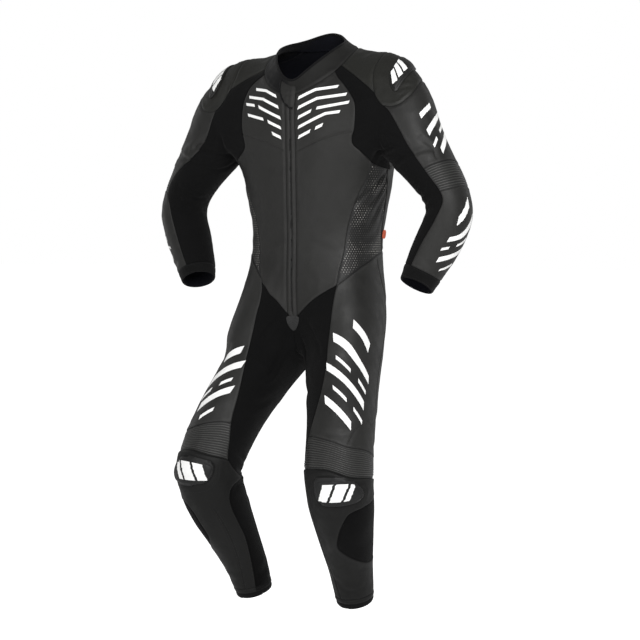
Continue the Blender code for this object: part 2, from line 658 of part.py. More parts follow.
def solid_from_patch(name, V, N, faces, outer, inner, inset):
    """Closed solid between two offsets of an open patch; offsets outward are positive.
    outer and inner are numbers or functions of the vertex number."""
    moved, border, _ = inset_border(V, N, faces, inset)
    tris = triangulate(V, faces)
    used = sorted({i for f in tris for i in f})
    number = {i: k for k, i in enumerate(used)}
    P = [moved.get(i, V[i]) for i in used]
    fo = outer if callable(outer) else (lambda i: outer)
    fi = inner if callable(inner) else (lambda i: inner)
    top = [p + N[i] * fo(i) for p, i in zip(P, used)]
    low = [p + N[i] * fi(i) for p, i in zip(P, used)]
    n = len(used)
    out = [[number[i] for i in f] for f in tris]
    out += [[number[i] + n for i in reversed(f)] for f in tris]
    for a, b in border:
        p, q = number[a], number[b]
        if a < b:                 # both pieces at a seam split the rim along the same diagonal
            out += [[q, p, p + n], [q, p + n, q + n]]
        else:
            out += [[q, p, q + n], [p, p + n, q + n]]
    return make_object(name, top + low, out)


# ------------------------------------------------------------------ build
def side_rows(rows, tag):
    k = 2 if tag == "_l" else 3
    return [(r[0], r[1], r[k]) for r in rows]


def build():
    V, F, where = build_cage()
    count = None
    coarse = None
    Vs, Fs, Ws = V, F, where
    for level in range(3):
        Vs, Fs, Ws = subdivide(Vs, Fs, Ws)
        if level == 0:
            coarse, count = (Fs.copy(), list(Ws)), len(Vs)
    form = Form(Vs, Fs, Ws)
    shell = Shell(Vs[:count], coarse[0], coarse[1])
    body = ("torso", "arm_l", "arm_r", "leg_l", "leg_r")
    # the zip strip, from the collar rim to its foot
    w = ZIP["half_width"]
    for tag, side in (("_l", 1), ("_r", -1)):
        pts = []
        for z in (-92, -110, -130, -170, -220, -300, -400, -500, -600, -640, -664):
            hit = form.tree["torso"].ray_cast(Vector((side * w, -400, z)), Vector((0, 1, 0)))
            pts.append(np.array(hit[0]))
        shell.cut(dense(pts), form, parts=("torso", "collar"))
    for name in ("front_edge", "side_front", "v_edge", "side_back", "waist", "stretch_outer", "armhole", "stretch_back",
                 "cup_out", "yoke_back", "elbow_top", "elbow_bottom", "groin_front", "hip_side", "groin_back",
                 "knee_top", "knee_bottom", "calf_edge"):
        for tag in ("_l", "_r"):
            line = seam_line(form, side_rows(SEAMS[name], tag), tag, name in CLOSED)
            shell.cut(line, form, closed=name in CLOSED, parts=("torso", "arm" + tag, "leg" + tag))
    for tag in ("_l", "_r"):
        for limb, s in (("arm", CUFF_AT), ("leg", HEM_AT)):
            rows = [(limb, s, a) for a in range(0, 360, 30)]
            shell.cut(seam_line(form, rows, tag, True), form, closed=True, parts=(limb + tag,))
        shell.cut(seam_line(form, SEAT_FOLD, tag), form, parts=("torso", "leg" + tag))
    line = [form.nearest(np.array([0.0, y, z])) for z, y in CROTCH_LINE]
    shell.cut(dense(line), form, parts=("torso", "leg_l", "leg_r"))
    return form, shell


def dense(points, step=6.0, closed=False):
    out = []
    pts = list(points) + ([points[0]] if closed else [])
    for a, b in zip(pts[:-1], pts[1:]):
        k = max(1, int(np.linalg.norm(b - a) / step))
        out += [a + (b - a) * (j / k) for j in range(k)]
    if not closed:
        out.append(pts[-1])
    return np.array(out)


SEEDS = {
    "collar": [("torso", 32, 180)], "zip": [("torso", -400, 0)],
    "back": [("torso", -250, 180)], "seat": [("torso", -600, 180)],
}
SIDE_SEEDS = {
    "front": [("torso", -400, 25)], "side": [("torso", -380, 82)], "stretch": [("arm", 100, 125)],
    "yoke": [("top", 0, 140)], "cup": [("arm", -20, 92)], "sleeve": [("arm", 130, 0)], "elbow_rib": [("arm", 258, 0)],
    "forearm": [("arm", 380, 0)], "cuff": [("arm", 490, 0), ("arm", 490, 165)], "thigh": [("leg", 80, 0)],
    "thigh_back": [("leg", 130, -100)], "groin": [("leg", 100, 180)], "knee_rib": [("leg", 235, 20)],
    "shin": [("leg", 380, 115), ("leg", 550, 20)], "calf": [("leg", 430, -90)], "hem": [("leg", 604, 60), ("leg", 604, 175)],
}


def name_regions(form, shell):
    reg = shell.regions()
    V = np.array(shell.V)
    centre = np.array([V[f].mean(0) for f in shell.faces])
    title = {}
    area = {}
    for i, f in enumerate(shell.faces):
        p = V[f]
        n = np.zeros(3)
        for k in range(1, len(f) - 1):
            n += np.cross(p[k] - p[0], p[k + 1] - p[0])
        area[reg[i]] = area.get(reg[i], 0) + np.linalg.norm(n) / 2
    clash = []

    def put(name, p):
        i = int(np.argmin(((centre - p) ** 2).sum(1)))
        r = reg[i]
        if r in title and title[r] != name:
            clash.append((title[r], name))
        title[r] = name
    for name, seeds in SEEDS.items():
        for s in seeds:
            put(name, form.at(*s, "_l"))
    for name, seeds in SIDE_SEEDS.items():
        for tag in ("_l", "_r"):
            for s in seeds:
                put(name + tag, form.at(*s, tag))
    # slivers join the neighbour they share most edge with
    for _ in range(6):
        share = {}
        for (a, b), use in shell.owner.items():
            if len(use) == 2 and reg[use[0]] != reg[use[1]]:
                x, y = reg[use[0]], reg[use[1]]
                for m, n in ((x, y), (y, x)):
                    if m not in title:
                        share.setdefault(m, {})
                        share[m][n] = share[m].get(n, 0) + np.linalg.norm(V[a] - V[b])
        if not share:
            break
        for m, options in share.items():
            n = max(options, key=options.get)
            if n in title:
                title[m] = title[n]
    return [title.get(r, "?") for r in reg], clash, area, reg


# ------------------------------------------------------------------ pieces lying on the panels
# outline rows (along, angle) on the left side; turn = how far round the right one sits
LAID = {
    "shoulder_cap": {"where": "arm", "left": [(8, 64), (-14, 71), (-42, 67), (-62, 50), (-80, 12), (-88, -20), (-86, -46),
                                              (-72, -60), (-56, -52), (-50, -30), (-42, 0), (-28, 24), (-10, 46)],
                     "turn": 0, "shift": 0, "edge": 2.4, "top": 5.5, "bevel": 16, "per_degree": 1.4, "lift": 0, "spacing": 15},
    "knee_slider": {"where": "leg", "left": [(269, 106), (263.5, 97), (263, 76), (264.5, 56), (268.5, 34), (277, 20), (288, 12),
                                             (295.5, 22), (296.5, 48), (296, 75), (294, 95), (284, 106)],
                    "turn": 27, "shift": -14, "edge": 6.0, "top": 12.0, "bevel": 9, "per_degree": 1.45, "lift": 0, "spacing": 8},
    "zip_flap": {"where": "torso", "left": [(-78, -13), (-100, -13), (-118, -10), (-132, -6), (-143, 0), (-146, 4), (-138, 6.5),
                                            (-116, 6.8), (-93, 7), (-93, 0), (-88, -6)],
                 "edge": 1.4, "top": 1.4, "bevel": 5, "per_degree": 2.25, "lift": 0, "spacing": 12},
    "gusset": {"where": "torso", "left": [(-636, 9), (-648, 9.5), (-664, 6), (-674, 0.5), (-664, -5), (-648, -8), (-636, -7.5)],
               "edge": 1.2, "top": 1.2, "bevel": 5, "per_degree": 2.1, "lift": 0, "spacing": 12},
    "side_tab": {"where": "torso", "left": [(-432, 103.5), (-432, 110), (-453, 110), (-453, 103.5)],
                 "edge": 1.0, "top": 1.0, "bevel": 5, "per_degree": 2.8, "lift": 5.0, "spacing": 7},
}


def inside(p, poly):
    odd = False
    for (x1, y1), (x2, y2) in zip(poly, poly[1:] + poly[:1]):
        if (y1 > p[1]) != (y2 > p[1]) and p[0] < (x2 - x1) * (p[1] - y1) / (y2 - y1) + x1:
            odd = not odd
    return odd


def to_edge(p, poly):
    best = 1e9
    for (x1, y1), (x2, y2) in zip(poly, poly[1:] + poly[:1]):
        dx, dy = x2 - x1, y2 - y1
        t = min(1, max(0, ((p[0] - x1) * dx + (p[1] - y1) * dy) / (dx * dx + dy * dy)))
        best = min(best, math.hypot(p[0] - x1 - t * dx, p[1] - y1 - t * dy))
    return best


def laid_piece(name, spec, form, ground, tag):
    """A piece whose underside follows the panels below it at LAY_GAP or more."""
    k = spec["per_degree"]
    turn = spec.get("turn", 0) if tag == "_r" else 0
    shift = spec.get("shift", 0) if tag == "_r" else 0
    poly = [(a + shift, (b + turn) * k) for a, b in spec["left"]]
    h = spec["spacing"]
    rim = []
    for (x1, y1), (x2, y2) in zip(poly, poly[1:] + poly[:1]):
        n = max(1, round(math.hypot(x2 - x1, y2 - y1) / h))
        rim += [(x1 + (x2 - x1) * i / n, y1 + (y2 - y1) * i / n) for i in range(n)]
    xs, ys = [p[0] for p in rim], [p[1] for p in rim]
    pts = list(rim)
    i = 0
    y = min(ys) + h * 0.5
    while y < max(ys):
        x = min(xs) + h * (0.5 if i % 2 else 1.0)
        while x < max(xs):
            if inside((x, y), poly) and to_edge((x, y), rim) > 0.62 * h:
                pts.append((x, y))
            x += h
        y += h * 0.87
        i += 1
    edges = [(j, (j + 1) % len(rim)) for j in range(len(rim))]
    out = delaunay_2d_cdt([Vector(p) for p in pts], edges, [], 1, 1e-6)
    flat, faces = out[0], [list(f) for f in out[2]]
    side = 1 if tag == "_l" else -1
    angles = [b for _, b in spec["left"]]
    low, high = min(angles) * k, max(angles) * k
    P, N, H, G = [], [], [], []
    for p in flat:
        a, b = p[0], p[1] / k
        if spec["where"] == "torso":
            r = math.radians(b)
            o = np.array([0.0, BODY_CENTRE_Y, a])
            d = np.array([side * math.sin(r), -math.cos(r), 0.0])
        else:
            o, (u, v, _) = form.on_axis(spec["where"] + tag, a)
            r = math.radians(b)
            d = u * math.cos(r) + v * math.sin(r)
        q = form.at(spec["where"], a, b, tag)
        n = form.normal(q)
        start = q + n * 30
        hit = ground.ray_cast(Vector(start), Vector(-n), 60)
        P.append(np.array(hit[0]) if hit[0] is not None else q)
        N.append(n)
        e = to_edge((p[0], p[1]), rim)
        t = min(1.0, e / spec["bevel"])
        H.append(spec["edge"] + (spec["top"] - spec["edge"]) * math.sin(t * math.pi / 2))
        G.append(LAY_GAP + 0.6 + spec["lift"] * (p[1] - low) / max(high - low, 1e-6))
    P, N, H, G = np.array(P), np.array(N), np.array(H), np.array(G)
    # the underside is straight between its points, so it is raised where a panel bulges between them
    for _ in range(4):
        base = P + N * G[:, None]
        lack = np.zeros(len(P))
        for f in faces:
            for w in ((1, 1, 1), (4, 1, 1), (1, 4, 1), (1, 1, 4), (1, 1, 0), (0, 1, 1), (1, 0, 1), (3, 3, 1), (1, 3, 3), (3, 1, 3)):
                w = np.array(w, float) / sum(w)
                q, n = w @ base[f], w @ N[f]
                n /= np.linalg.norm(n)
                hit = ground.ray_cast(Vector(q + n * 20), Vector(-n), 60)
                if hit[0] is not None:
                    gap = (q - np.array(hit[0])) @ n
                    if gap < LAY_GAP:
                        lack[f] = np.maximum(lack[f], LAY_GAP - gap)
        if not lack.any():
            break
        G = G + lack
    base = P + N * G[:, None]
    top = base + N * H[:, None]
    m = len(P)
    count = {}
    good = []
    for f in faces:
        n = np.cross(P[f[1]] - P[f[0]], P[f[2]] - P[f[0]])
        if n @ N[f[0]] < 0:
            f = f[::-1]
        good.append(f)
        for a, b in zip(f, f[1:] + f[:1]):
            count[a, b] = 1
    tris = [list(f) for f in good] + [[i + m for i in reversed(f)] for f in good]
    for a, b in count:
        if (b, a) not in count:
            tris += [[b, a, a + m], [b, a + m, b + m]]
    return make_object(name, list(top) + list(base), tris)


KIND = {"collar": "collar", "stretch": "stretch", "groin": "stretch", "calf": "stretch", "elbow_rib": "rib",
        "knee_rib": "rib", "side": "side", "cuff": "cuff", "hem": "cuff"}


def main():
    for obj in list(bpy.data.objects):
        bpy.data.objects.remove(obj)
    form, shell = build()
    names, clash, area, reg = name_regions(form, shell)
    if clash:
        raise ValueError("the panels are not apart: %s" % clash)
    V, N = np.array(shell.V), np.array(shell.N)
    ground = []
    for name in sorted(set(names)):
        faces = [f for f, n in zip(shell.faces, names) if n == name]
        stem = name[:-2] if name[-2:] in ("_l", "_r") else name
        wall = WALL[KIND.get(stem, "leather")]
        faces = thin_out(V, N, faces, THIN)
        solid_from_patch(name, V, N, faces, 0.0, -wall, SEAM_GAP / 2)
        ground += faces
    tree = BVHTree.FromPolygons([Vector(p) for p in V], [tuple(f) for f in ground])
    for name, spec in LAID.items():
        if "turn" in spec:
            for tag in ("_l", "_r"):
                laid_piece(name + tag, spec, form, tree, tag)
        else:
            laid_piece(name, spec, form, tree, "_l")
    return form, shell, names, clash


if __name__ == "__main__":
    main()
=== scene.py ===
"""Looks of the one-piece leather motorcycle race suit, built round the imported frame.

Millimetres and degrees in the tables; the meshes are in metres.
X = wearer's left, -Y = wearer's front, +Z up.
"""
import bpy
import json
import math
import numpy as np
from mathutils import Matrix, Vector
from mathutils.bvhtree import BVHTree
from mathutils.kdtree import KDTree
from mathutils.geometry import delaunay_2d_cdt

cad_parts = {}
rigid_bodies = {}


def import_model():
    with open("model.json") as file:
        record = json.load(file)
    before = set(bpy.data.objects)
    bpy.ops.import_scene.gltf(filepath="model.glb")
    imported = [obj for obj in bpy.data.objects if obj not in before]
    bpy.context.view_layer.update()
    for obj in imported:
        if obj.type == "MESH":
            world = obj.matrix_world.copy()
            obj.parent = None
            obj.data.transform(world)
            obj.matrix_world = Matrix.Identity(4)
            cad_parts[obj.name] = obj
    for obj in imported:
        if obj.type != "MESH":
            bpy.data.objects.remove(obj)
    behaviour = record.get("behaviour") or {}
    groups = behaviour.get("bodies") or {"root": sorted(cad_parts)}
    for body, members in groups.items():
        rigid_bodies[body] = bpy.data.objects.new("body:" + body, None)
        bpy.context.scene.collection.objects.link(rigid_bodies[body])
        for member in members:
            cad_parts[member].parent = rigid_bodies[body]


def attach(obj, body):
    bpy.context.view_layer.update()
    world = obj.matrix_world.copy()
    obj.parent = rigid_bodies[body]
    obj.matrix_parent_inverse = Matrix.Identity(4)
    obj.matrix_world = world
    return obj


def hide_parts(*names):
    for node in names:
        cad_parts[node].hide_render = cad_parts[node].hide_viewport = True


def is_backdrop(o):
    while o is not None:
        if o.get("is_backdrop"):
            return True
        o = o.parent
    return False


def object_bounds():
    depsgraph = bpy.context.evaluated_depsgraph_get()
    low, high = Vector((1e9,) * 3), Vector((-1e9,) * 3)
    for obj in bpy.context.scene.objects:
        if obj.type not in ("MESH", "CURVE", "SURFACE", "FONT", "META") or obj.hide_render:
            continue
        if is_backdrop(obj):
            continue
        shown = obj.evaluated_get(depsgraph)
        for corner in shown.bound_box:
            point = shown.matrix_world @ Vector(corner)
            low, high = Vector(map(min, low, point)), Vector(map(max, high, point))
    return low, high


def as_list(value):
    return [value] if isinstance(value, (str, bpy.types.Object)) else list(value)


for obj in list(bpy.data.objects):
    bpy.data.objects.remove(obj)
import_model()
CAD_LOW, CAD_HIGH = [list(p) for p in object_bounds()]

# ------------------------------------------------------------------ sizes
BODY_CENTRE_Y = -10.0
END_RUN = 45.0            # how far an open seam is run on to meet the next one
SEAM_GAP = 0.3
# cloth thickness of each kind, mm
THICK = {"leather": 1.3, "stretch": 1.0, "rib": 1.2, "collar": 2.6, "side": 1.2, "cuff": 1.8}
# torso rings: half of each, from front centre (column 0) to back centre (column 8): x, y, z
TORSO = {
    "collar_top":  [(0, -126, -86), (34, -130, -60), (70, -88, -18), (86, -40, 9), (75, 2, 20), (55, 33, 29), (40, 51, 37), (22, 61, 44), (0, 65, 48)],
    "collar_base": [(0, -136, -118), (54, -134, -100), (98, -98, -66), (110, -50, -27), (103, -4, -1), (86, 38, 9), (68, 66, 9), (36, 84, 8), (0, 88, 7)],
    "slope":       [(0, -138, -160), (66, -140, -140), (128, -114, -102), (160, -64, -39), (164, -4, -8), (152, 50, -8), (116, 88, -27), (60, 102, -28), (0, 106, -28)],
    "shoulder":    [(0, -135, -205), (80, -140, -190), (154, -116, -160), (206, -84, -58), (234, -24, 0), (214, 46, -26), (172, 98, -90), (92, 114, -92), (0, 118, -88)],
    "armhole":     [(0, -132, -250), (86, -138, -245), (162, -112, -215), (206, -60, -160), (218, 0, -120), (206, 50, -150), (176, 100, -170), (96, 122, -170), (0, 126, -170)],
    "chest":       [(0, -132, -305), (84, -134, -298), (158, -98, -277), (186, -52, -264), (194, -6, -260), (186, 46, -262), (162, 94, -270), (92, 120, -275), (0, 126, -278)],
    "ribs":        [(0, -131, -375), (80, -128, -372), (144, -90, -368), (172, -46, -364), (180, 0, -362), (173, 48, -362), (147, 90, -362), (84, 114, -362), (0, 120, -362)],
    "waist":       [(0, -129, -455), (72, -123, -455), (128, -86, -455), (151, -44, -455), (157, 0, -455), (151, 44, -455), (128, 82, -455), (74, 104, -455), (0, 109, -455)],
    "hip":         [(0, -131, -550), (74, -136, -548), (134, -112, -545), (161, -66, -542), (170, -14, -540), (163, 38, -540), (136, 82, -542), (76, 106, -546), (0, 107, -548)],
    "seat":        [(0, -116, -640), (80, -146, -638), (148, -142, -632), (181, -96, -626), (190, -36, -622), (179, 26, -622), (146, 78, -626), (80, 108, -632), (0, 88, -640)],
    "crotch":      [(0, -88, -700), (82, -158, -714), (154, -176, -706), (194, -128, -696), (202, -62, -690), (186, 8, -688), (148, 66, -692), (84, 92, -698), (0, 54, -700)],
}
CROTCH_STRIP = [(0, -70, -708), (0, -28, -714), (0, 18, -710)]

# limb rings down each sleeve and leg: centre x, y, z, radius across, radius fore and aft,
# and how far the ring leans over towards the body (deg)
ARM = [
    ("armhole", 253, -30, -172, 97, 78, 33),
    ("upper",   277, -34, -221, 79, 74, 18),
    ("biceps",  308, -36, -270, 64, 68, 8),
    ("above",   353, -32, -330, 55, 61, 0),
    ("elbow",   377, -30, -390, 56, 60, 0),
    ("forearm", 351, -38, -452, 57, 57, 0),
    ("lower",   320, -54, -516, 48, 49, 0),
    ("cuff",    302, -68, -562, 41, 43, 0),
]
CUFF_RISE = 8.0
# line that the sleeve measures run along, from the shoulder point: x, y, z
ARM_LINE = [(230, -32, -120), (259, -36, -194), (306, -36, -268), (351, -32, -330), (377, -30, -390),
            (351, -38, -452), (320, -54, -516), (302, -68, -562)]
LEG = [
    ("thigh_top", 120, -92, -782, 81, 97, 0),
    ("thigh",     150, -150, -862, 79, 86, 0),
    ("above",     169, -196, -942, 77, 83, 0),
    ("knee",      181, -222, -1012, 80, 84, 0),
    ("below",     174, -190, -1082, 75, 78, 0),
    ("calf",      158, -140, -1166, 60, 62, 0),
    ("shin",      146, -92, -1250, 49, 51, 0),
    ("hem",       141, -70, -1312, 44, 47, 0),
]

LEG_LINE = [row[1:4] for row in LEG]

# seams.  Rows are (where, along, left, right):
#   torso: height z, angle round from front centre, left and right side
#   level: angle, then the height on the left and on the right side
#   arm / leg: distance down the limb from its first ring, then the angle round it
#              (0 outward, 90 to the front, 180 inward, negative to the back)
#   armr / legr: angle, then the distance down the limb left and right
#   top: y, then x left and right, seen from above
#   mid: a point of the centre line, y and z
SEAMS = {
    "front_edge": [("torso", -52, 50, 45), ("torso", -72, 51, 53), ("torso", -91, 54, 55), ("torso", -118, 57, 55),
                   ("torso", -144, 58, 54), ("torso", -192, 57, 52), ("torso", -216, 56, 51), ("torso", -234, 57, 51),
                   ("torso", -250, 62, 56), ("torso", -266, 69, 66), ("torso", -277, 75, 74), ("torso", -285, 86, 86),
                   ("torso", -288, 96, 96)],
    "side_front": [("torso", -266, 74, 72), ("torso", -308, 72, 66), ("torso", -346, 67, 60), ("torso", -395, 62, 51),
                   ("torso", -440, 59, 47), ("torso", -484, 56, 43), ("torso", -529, 50, 38), ("torso", -562, 47, 33)],
    "v_edge": [("torso", -556, 50, 35), ("torso", -562, 47, 32), ("torso", -573, 40, 28), ("torso", -585, 33, 25),
               ("torso", -600, 25, 18), ("torso", -627, 12, 8), ("torso", -645, 2, 0)],
    "waist": [("level", 40, -574, -535), ("level", 47, -562, -518), ("level", 62, -534, -495), ("level", 75, -514, -486),
              ("level", 89, -497, -480), ("level", 111, -483, -476), ("level", 140, -474, -474), ("level", 165, -471, -471),
              ("level", 184, -471, -471)],
    "side_back": [("torso", -275, 92, 92), ("torso", -302, 94, 94), ("torso", -375, 101, 101), ("torso", -433, 103, 103),
                  ("torso", -500, 107, 107)],
    "stretch_outer": [("torso", -26, 53, 46), ("torso", -40, 58, 54), ("torso", -69, 63, 65), ("arm", -10, 107, 96),
                      ("arm", 20, 98, 96), ("arm", 45, 86, 97), ("arm", 90, 80, 99), ("arm", 140, 81, 93),
                      ("arm", 185, 81, 78), ("arm", 230, 81, 67), ("arm", 262, 78, 70), ("arm", 290, 83, 90),
                      ("arm", 345, 101, 98), ("arm", 408, 107, 93), ("arm", 440, 108, 92), ("arm", 490, 108, 96)],
    "stretch_back": [("torso", -296, 100, 100), ("torso", -280, 97, 97), ("arm", 128, -162, -162), ("arm", 150, -153, -153), ("arm", 185, -146, -146), ("arm", 250, -142, -142),
                     ("arm", 330, -140, -140), ("arm", 400, -140, -140), ("arm", 490, -140, -140)],
    "armhole": [("arm", 36, 88, 92), ("arm", 20, 99, 99), ("arm", -7, 107, 107), ("arm", -33, 109, 109), ("arm", -68, 110, 110),
                ("top", -41, 192, 192), ("top", -5, 190, 190), ("top", 30, 189, 189), ("arm", -58, -96, -96),
                ("arm", -20, -98, -98), ("arm", 25, -103, -103), ("arm", 58, -108, -108), ("torso", -232, 118, 118),
                ("torso", -262, 107, 107), ("torso", -288, 97, 97)],
    "cup_out": [("arm", 20, 103, 103), ("arm", 34, 84, 84), ("arm", 37, 66, 66), ("arm", 28, 46, 46), ("arm", 12, 24, 24),
                ("arm", -8, 2, 2), ("arm", -18, -25, -25), ("arm", -24, -52, -52), ("arm", -34, -78, -78),
                ("arm", -46, -102, -102)],
    "yoke_back": [("top", 54, 66, 66), ("top", 60, 92, 92), ("top", 60, 130, 130), ("top", 50, 170, 170), ("top", 40, 198, 198)],
    "elbow_top": [("armr", 98, 199, 199), ("armr", 80, 201, 201), ("armr", 50, 207, 207), ("armr", 5, 215, 215),
                  ("armr", -45, 225, 225), ("armr", -100, 228, 228), ("armr", -152, 222, 222)],
    "elbow_bottom": [("armr", 98, 260, 260), ("armr", 80, 264, 264), ("armr", 45, 270, 270), ("armr", 5, 273, 273),
                     ("armr", -45, 278, 278), ("armr", -100, 282, 282), ("armr", -152, 280, 280)],
    "hip_side": [("torso", -462, 124, 124), ("torso", -500, 126, 126), ("torso", -560, 129, 129), ("torso", -620, 130, 130),
                 ("leg", 5, -76, -76), ("leg", 60, -76, -76), ("leg", 130, -76, -76), ("leg", 200, -78, -78),
                 ("leg", 250, -84, -84), ("leg", 278, -94, -94)],
    "groin_front": [("torso", -552, 49, 35), ("torso", -571, 46, 33), ("torso", -606, 43, 33), ("torso", -640, 41, 34),
                    ("leg", -14, 75, 88), ("leg", 30, 79, 98), ("leg", 64, 84, 107), ("leg", 100, 92, 117),
                    ("leg", 150, 108, 128), ("leg", 190, 124, 140), ("leg", 232, 146, 152), ("leg", 248, 172, 174),
                    ("leg", 262, -165, -165), ("leg", 272, -130, -130), ("leg", 272, -88, -88), ("leg", 262, -70, -70)],
    "groin_back": [("leg", 10, -134, -134), ("leg", 60, -130, -130), ("leg", 130, -127, -127), ("leg", 200, -126, -126),
                   ("leg", 285, -120, -120)],
    "knee_top": [("legr", 150, 176, 152), ("legr", 118, 184, 162), ("legr", 95, 195, 174), ("legr", 66, 210, 191),
                 ("legr", 42, 219, 200), ("legr", 10, 214, 196), ("legr", -21, 209, 192), ("legr", -60, 205, 190),
                 ("legr", -90, 205, 190)],
    "knee_bottom": [("legr", 170, 244, 235), ("legr", 150, 246, 236), ("legr", 118, 252, 240), ("legr", 80, 258, 240),
                    ("legr", 36, 263, 245), ("legr", -21, 267, 250), ("legr", -60, 268, 252), ("legr", -96, 268, 252)],
    "calf_edge": [("leg", 622, -160, -160), ("leg", 590, -158, -158), ("leg", 552, -148, -148), ("leg", 518, -120, -120),
                  ("leg", 504, -80, -80), ("leg", 498, -38, -38), ("leg", 486, 8, 8), ("leg", 456, 42, 42),
                  ("leg", 426, 65, 65), ("leg", 402, 74, 76), ("leg", 366, 68, 76), ("leg", 332, 57, 72),
                  ("leg", 312, 42, 60), ("leg", 312, 12, 30), ("leg", 320, -18, -5), ("leg", 320, -60, -60),
                  ("leg", 312, -110, -110), ("leg", 303, -155, -155), ("leg", 302, 172, 172), ("leg", 316, 156, 156),
                  ("leg", 350, 149, 149), ("leg", 400, 148, 148), ("leg", 443, 149, 149), ("leg", 496, 143, 143),
                  ("leg", 560, 133, 133), ("leg", 622, 128, 128)],
}
CLOSED = set()

# plain round seams: constant distance down the limb
CUFF_AT = 468
HEM_AT = 590
HEM_LINE = 603
# zip and its placket, front centre
ZIP = {"half_width": 13, "foot": -632}
SEAT_FOLD = [("leg", 22, -66), ("leg", 26, -90), ("leg", 24, -125), ("leg", 8, -150), ("mid", 18, -721)]
CROTCH_LINE = [(-650, -140), (-690, -110), (-716, -80), (-726, -30), (-722, 20), (-706, 60)]   # z, y of the centre line



# ------------------------------------------------------------------ cage
def limb_frame(points, i, side):
    if i == 0:
        t = points[1] - points[0]
    elif i == len(points) - 1:
        t = points[i] - points[i - 1]
    else:
        a = points[i + 1] - points[i]
        b = points[i] - points[i - 1]
        t = a / np.linalg.norm(a) + b / np.linalg.norm(b)
    return axes_across(t, side)


def axes_across(t, side):
    """Unit vectors across a limb: outward, to the front, and along it."""
    t = t / np.linalg.norm(t)
    front = np.array([0.0, -1.0, 0.0])
    v = front - t * (front @ t)
    v /= np.linalg.norm(v)
    u = np.cross(v, t)
    if u[0] * side < 0:
        u = -u
    return u, v, t


def build_cage():
    verts, faces, where = [], [], []
    names = list(TORSO)
    index = {}
    for r, name in enumerate(names):
        half = TORSO[name]
        for k in range(16):
            x, y, z = half[k] if k <= 8 else half[16 - k]
            index[r, k] = len(verts)
            verts.append((x if k <= 8 else -x, y, z))
    strip = []
    for p in CROTCH_STRIP:
        strip.append(len(verts))
        verts.append(p)
    hole = {2, 3, 4, 5, 10, 11, 12, 13}
    top, mid, low = names.index("shoulder"), names.index("armhole"), names.index("chest")
    for r in range(len(names) - 1):
        for k in range(16):
            if k in hole and top <= r < low:
                continue
            n = (k + 1) % 16
            faces.append((index[r, k], index[r + 1, k], index[r + 1, n], index[r, n]))
            where.append("collar" if r == 0 else "torso")
    last = len(names) - 1
    for side, tag in ((1, "_l"), (-1, "_r")):
        def col(k):
            return k if side == 1 else (16 - k) % 16
        loop = [index[top, col(4)], index[top, col(3)], index[top, col(2)], index[mid, col(2)], index[low, col(2)],
                index[low, col(3)], index[low, col(4)], index[low, col(5)], index[low, col(6)], index[mid, col(6)],
                index[top, col(6)], index[top, col(5)]]
        add_limb(verts, faces, where, loop, ARM, side, "arm" + tag)
        loop = [index[last, col(4)], index[last, col(3)], index[last, col(2)], index[last, col(1)], index[last, col(0)],
                strip[0], strip[1], strip[2], index[last, col(8)], index[last, col(7)], index[last, col(6)], index[last, col(5)]]
        add_limb(verts, faces, where, loop, LEG, side, "leg" + tag)
    verts, faces = np.array(verts, float), np.array(faces)
    used = np.unique(faces)
    number = np.zeros(len(verts), int)
    number[used] = np.arange(len(used))
    return verts[used], number[faces], where


def add_limb(verts, faces, where, loop, table, side, tag):
    n = 12
    points = [np.array((side * row[1], row[2], row[3]), float) for row in table]
    shrink = 2 / 3 + math.cos(2 * math.pi / n) / 3      # what subdivision takes off a 12-sided ring
    before = loop
    for i, row in enumerate(table):
        u, v, t = limb_frame(points, i, side)
        lean = math.radians(row[6])
        u = u * math.cos(lean) - t * math.sin(lean)
        ring = []
        for j in range(n):
            a = 2 * math.pi * j / n
            ring.append(len(verts))
            p = points[i] + u * (row[4] / shrink * math.cos(a)) + v * (row[5] / shrink * math.sin(a))
            if row[0] == "cuff":        # the left cuff's mouth is cut higher at the front, the right sleeve is pushed up a little
                p = p - t * (CUFF_RISE * math.cos(a - math.radians(60)) if side == 1 else 8 + 3 * math.cos(a - math.radians(120)))
            verts.append(tuple(p))
        for j in range(n):
            m = (j + 1) % n
            q = (before[j], before[m], ring[m], ring[j])
            faces.append(q if side == 1 else q[::-1])
            where.append(tag)
        before = ring


def subdivide(V, F, where):
    """One Catmull-Clark step on an all-quad mesh; the old vertices keep their numbers."""
    nv = len(V)
    pairs = np.stack([F, np.roll(F, -1, 1)], 2).reshape(-1, 2)
    key = np.sort(pairs, 1)
    edges, inv = np.unique(key, axis=0, return_inverse=True)
    inv = inv.reshape(-1, 4)
    centre = V[F].mean(1)
    mid = (V[edges[:, 0]] + V[edges[:, 1]]) / 2
    uses = np.bincount(inv.ravel(), minlength=len(edges))
    total = np.zeros_like(mid)
    for k in range(4):
        np.add.at(total, inv[:, k], centre)
    inner = uses == 2
    epoint = mid.copy()
    epoint[inner] = (2 * mid[inner] + total[inner]) / 4
    valence = np.bincount(F.ravel(), minlength=nv).astype(float)
    q = np.zeros_like(V)
    for k in range(4):
        np.add.at(q, F[:, k], centre)
    r = np.zeros_like(V)
    ne = np.zeros(nv)
    for k in range(2):
        np.add.at(r, edges[:, k], mid)
        np.add.at(ne, edges[:, k], 1)
    rim = np.zeros_like(V)
    border = np.zeros(nv)
    for k in range(2):
        np.add.at(rim, edges[~inner, k], mid[~inner])
        np.add.at(border, edges[~inner, k], 1)
    n = valence[:, None]
    new = (q / n + 2 * r / ne[:, None] + (n - 3) * V) / n
    on = border > 0
    new[on] = (V[on] + rim[on] / border[on, None]) / 2
    verts = np.concatenate([new, epoint, centre])
    e = nv + inv
    c = nv + len(edges) + np.arange(len(F))
    faces = np.concatenate([np.stack([F[:, k], e[:, k], c, e[:, k - 1]], 1) for k in range(4)])
    order = np.arange(len(F))
    return verts, faces, [where[i] for i in np.concatenate([order] * 4)]



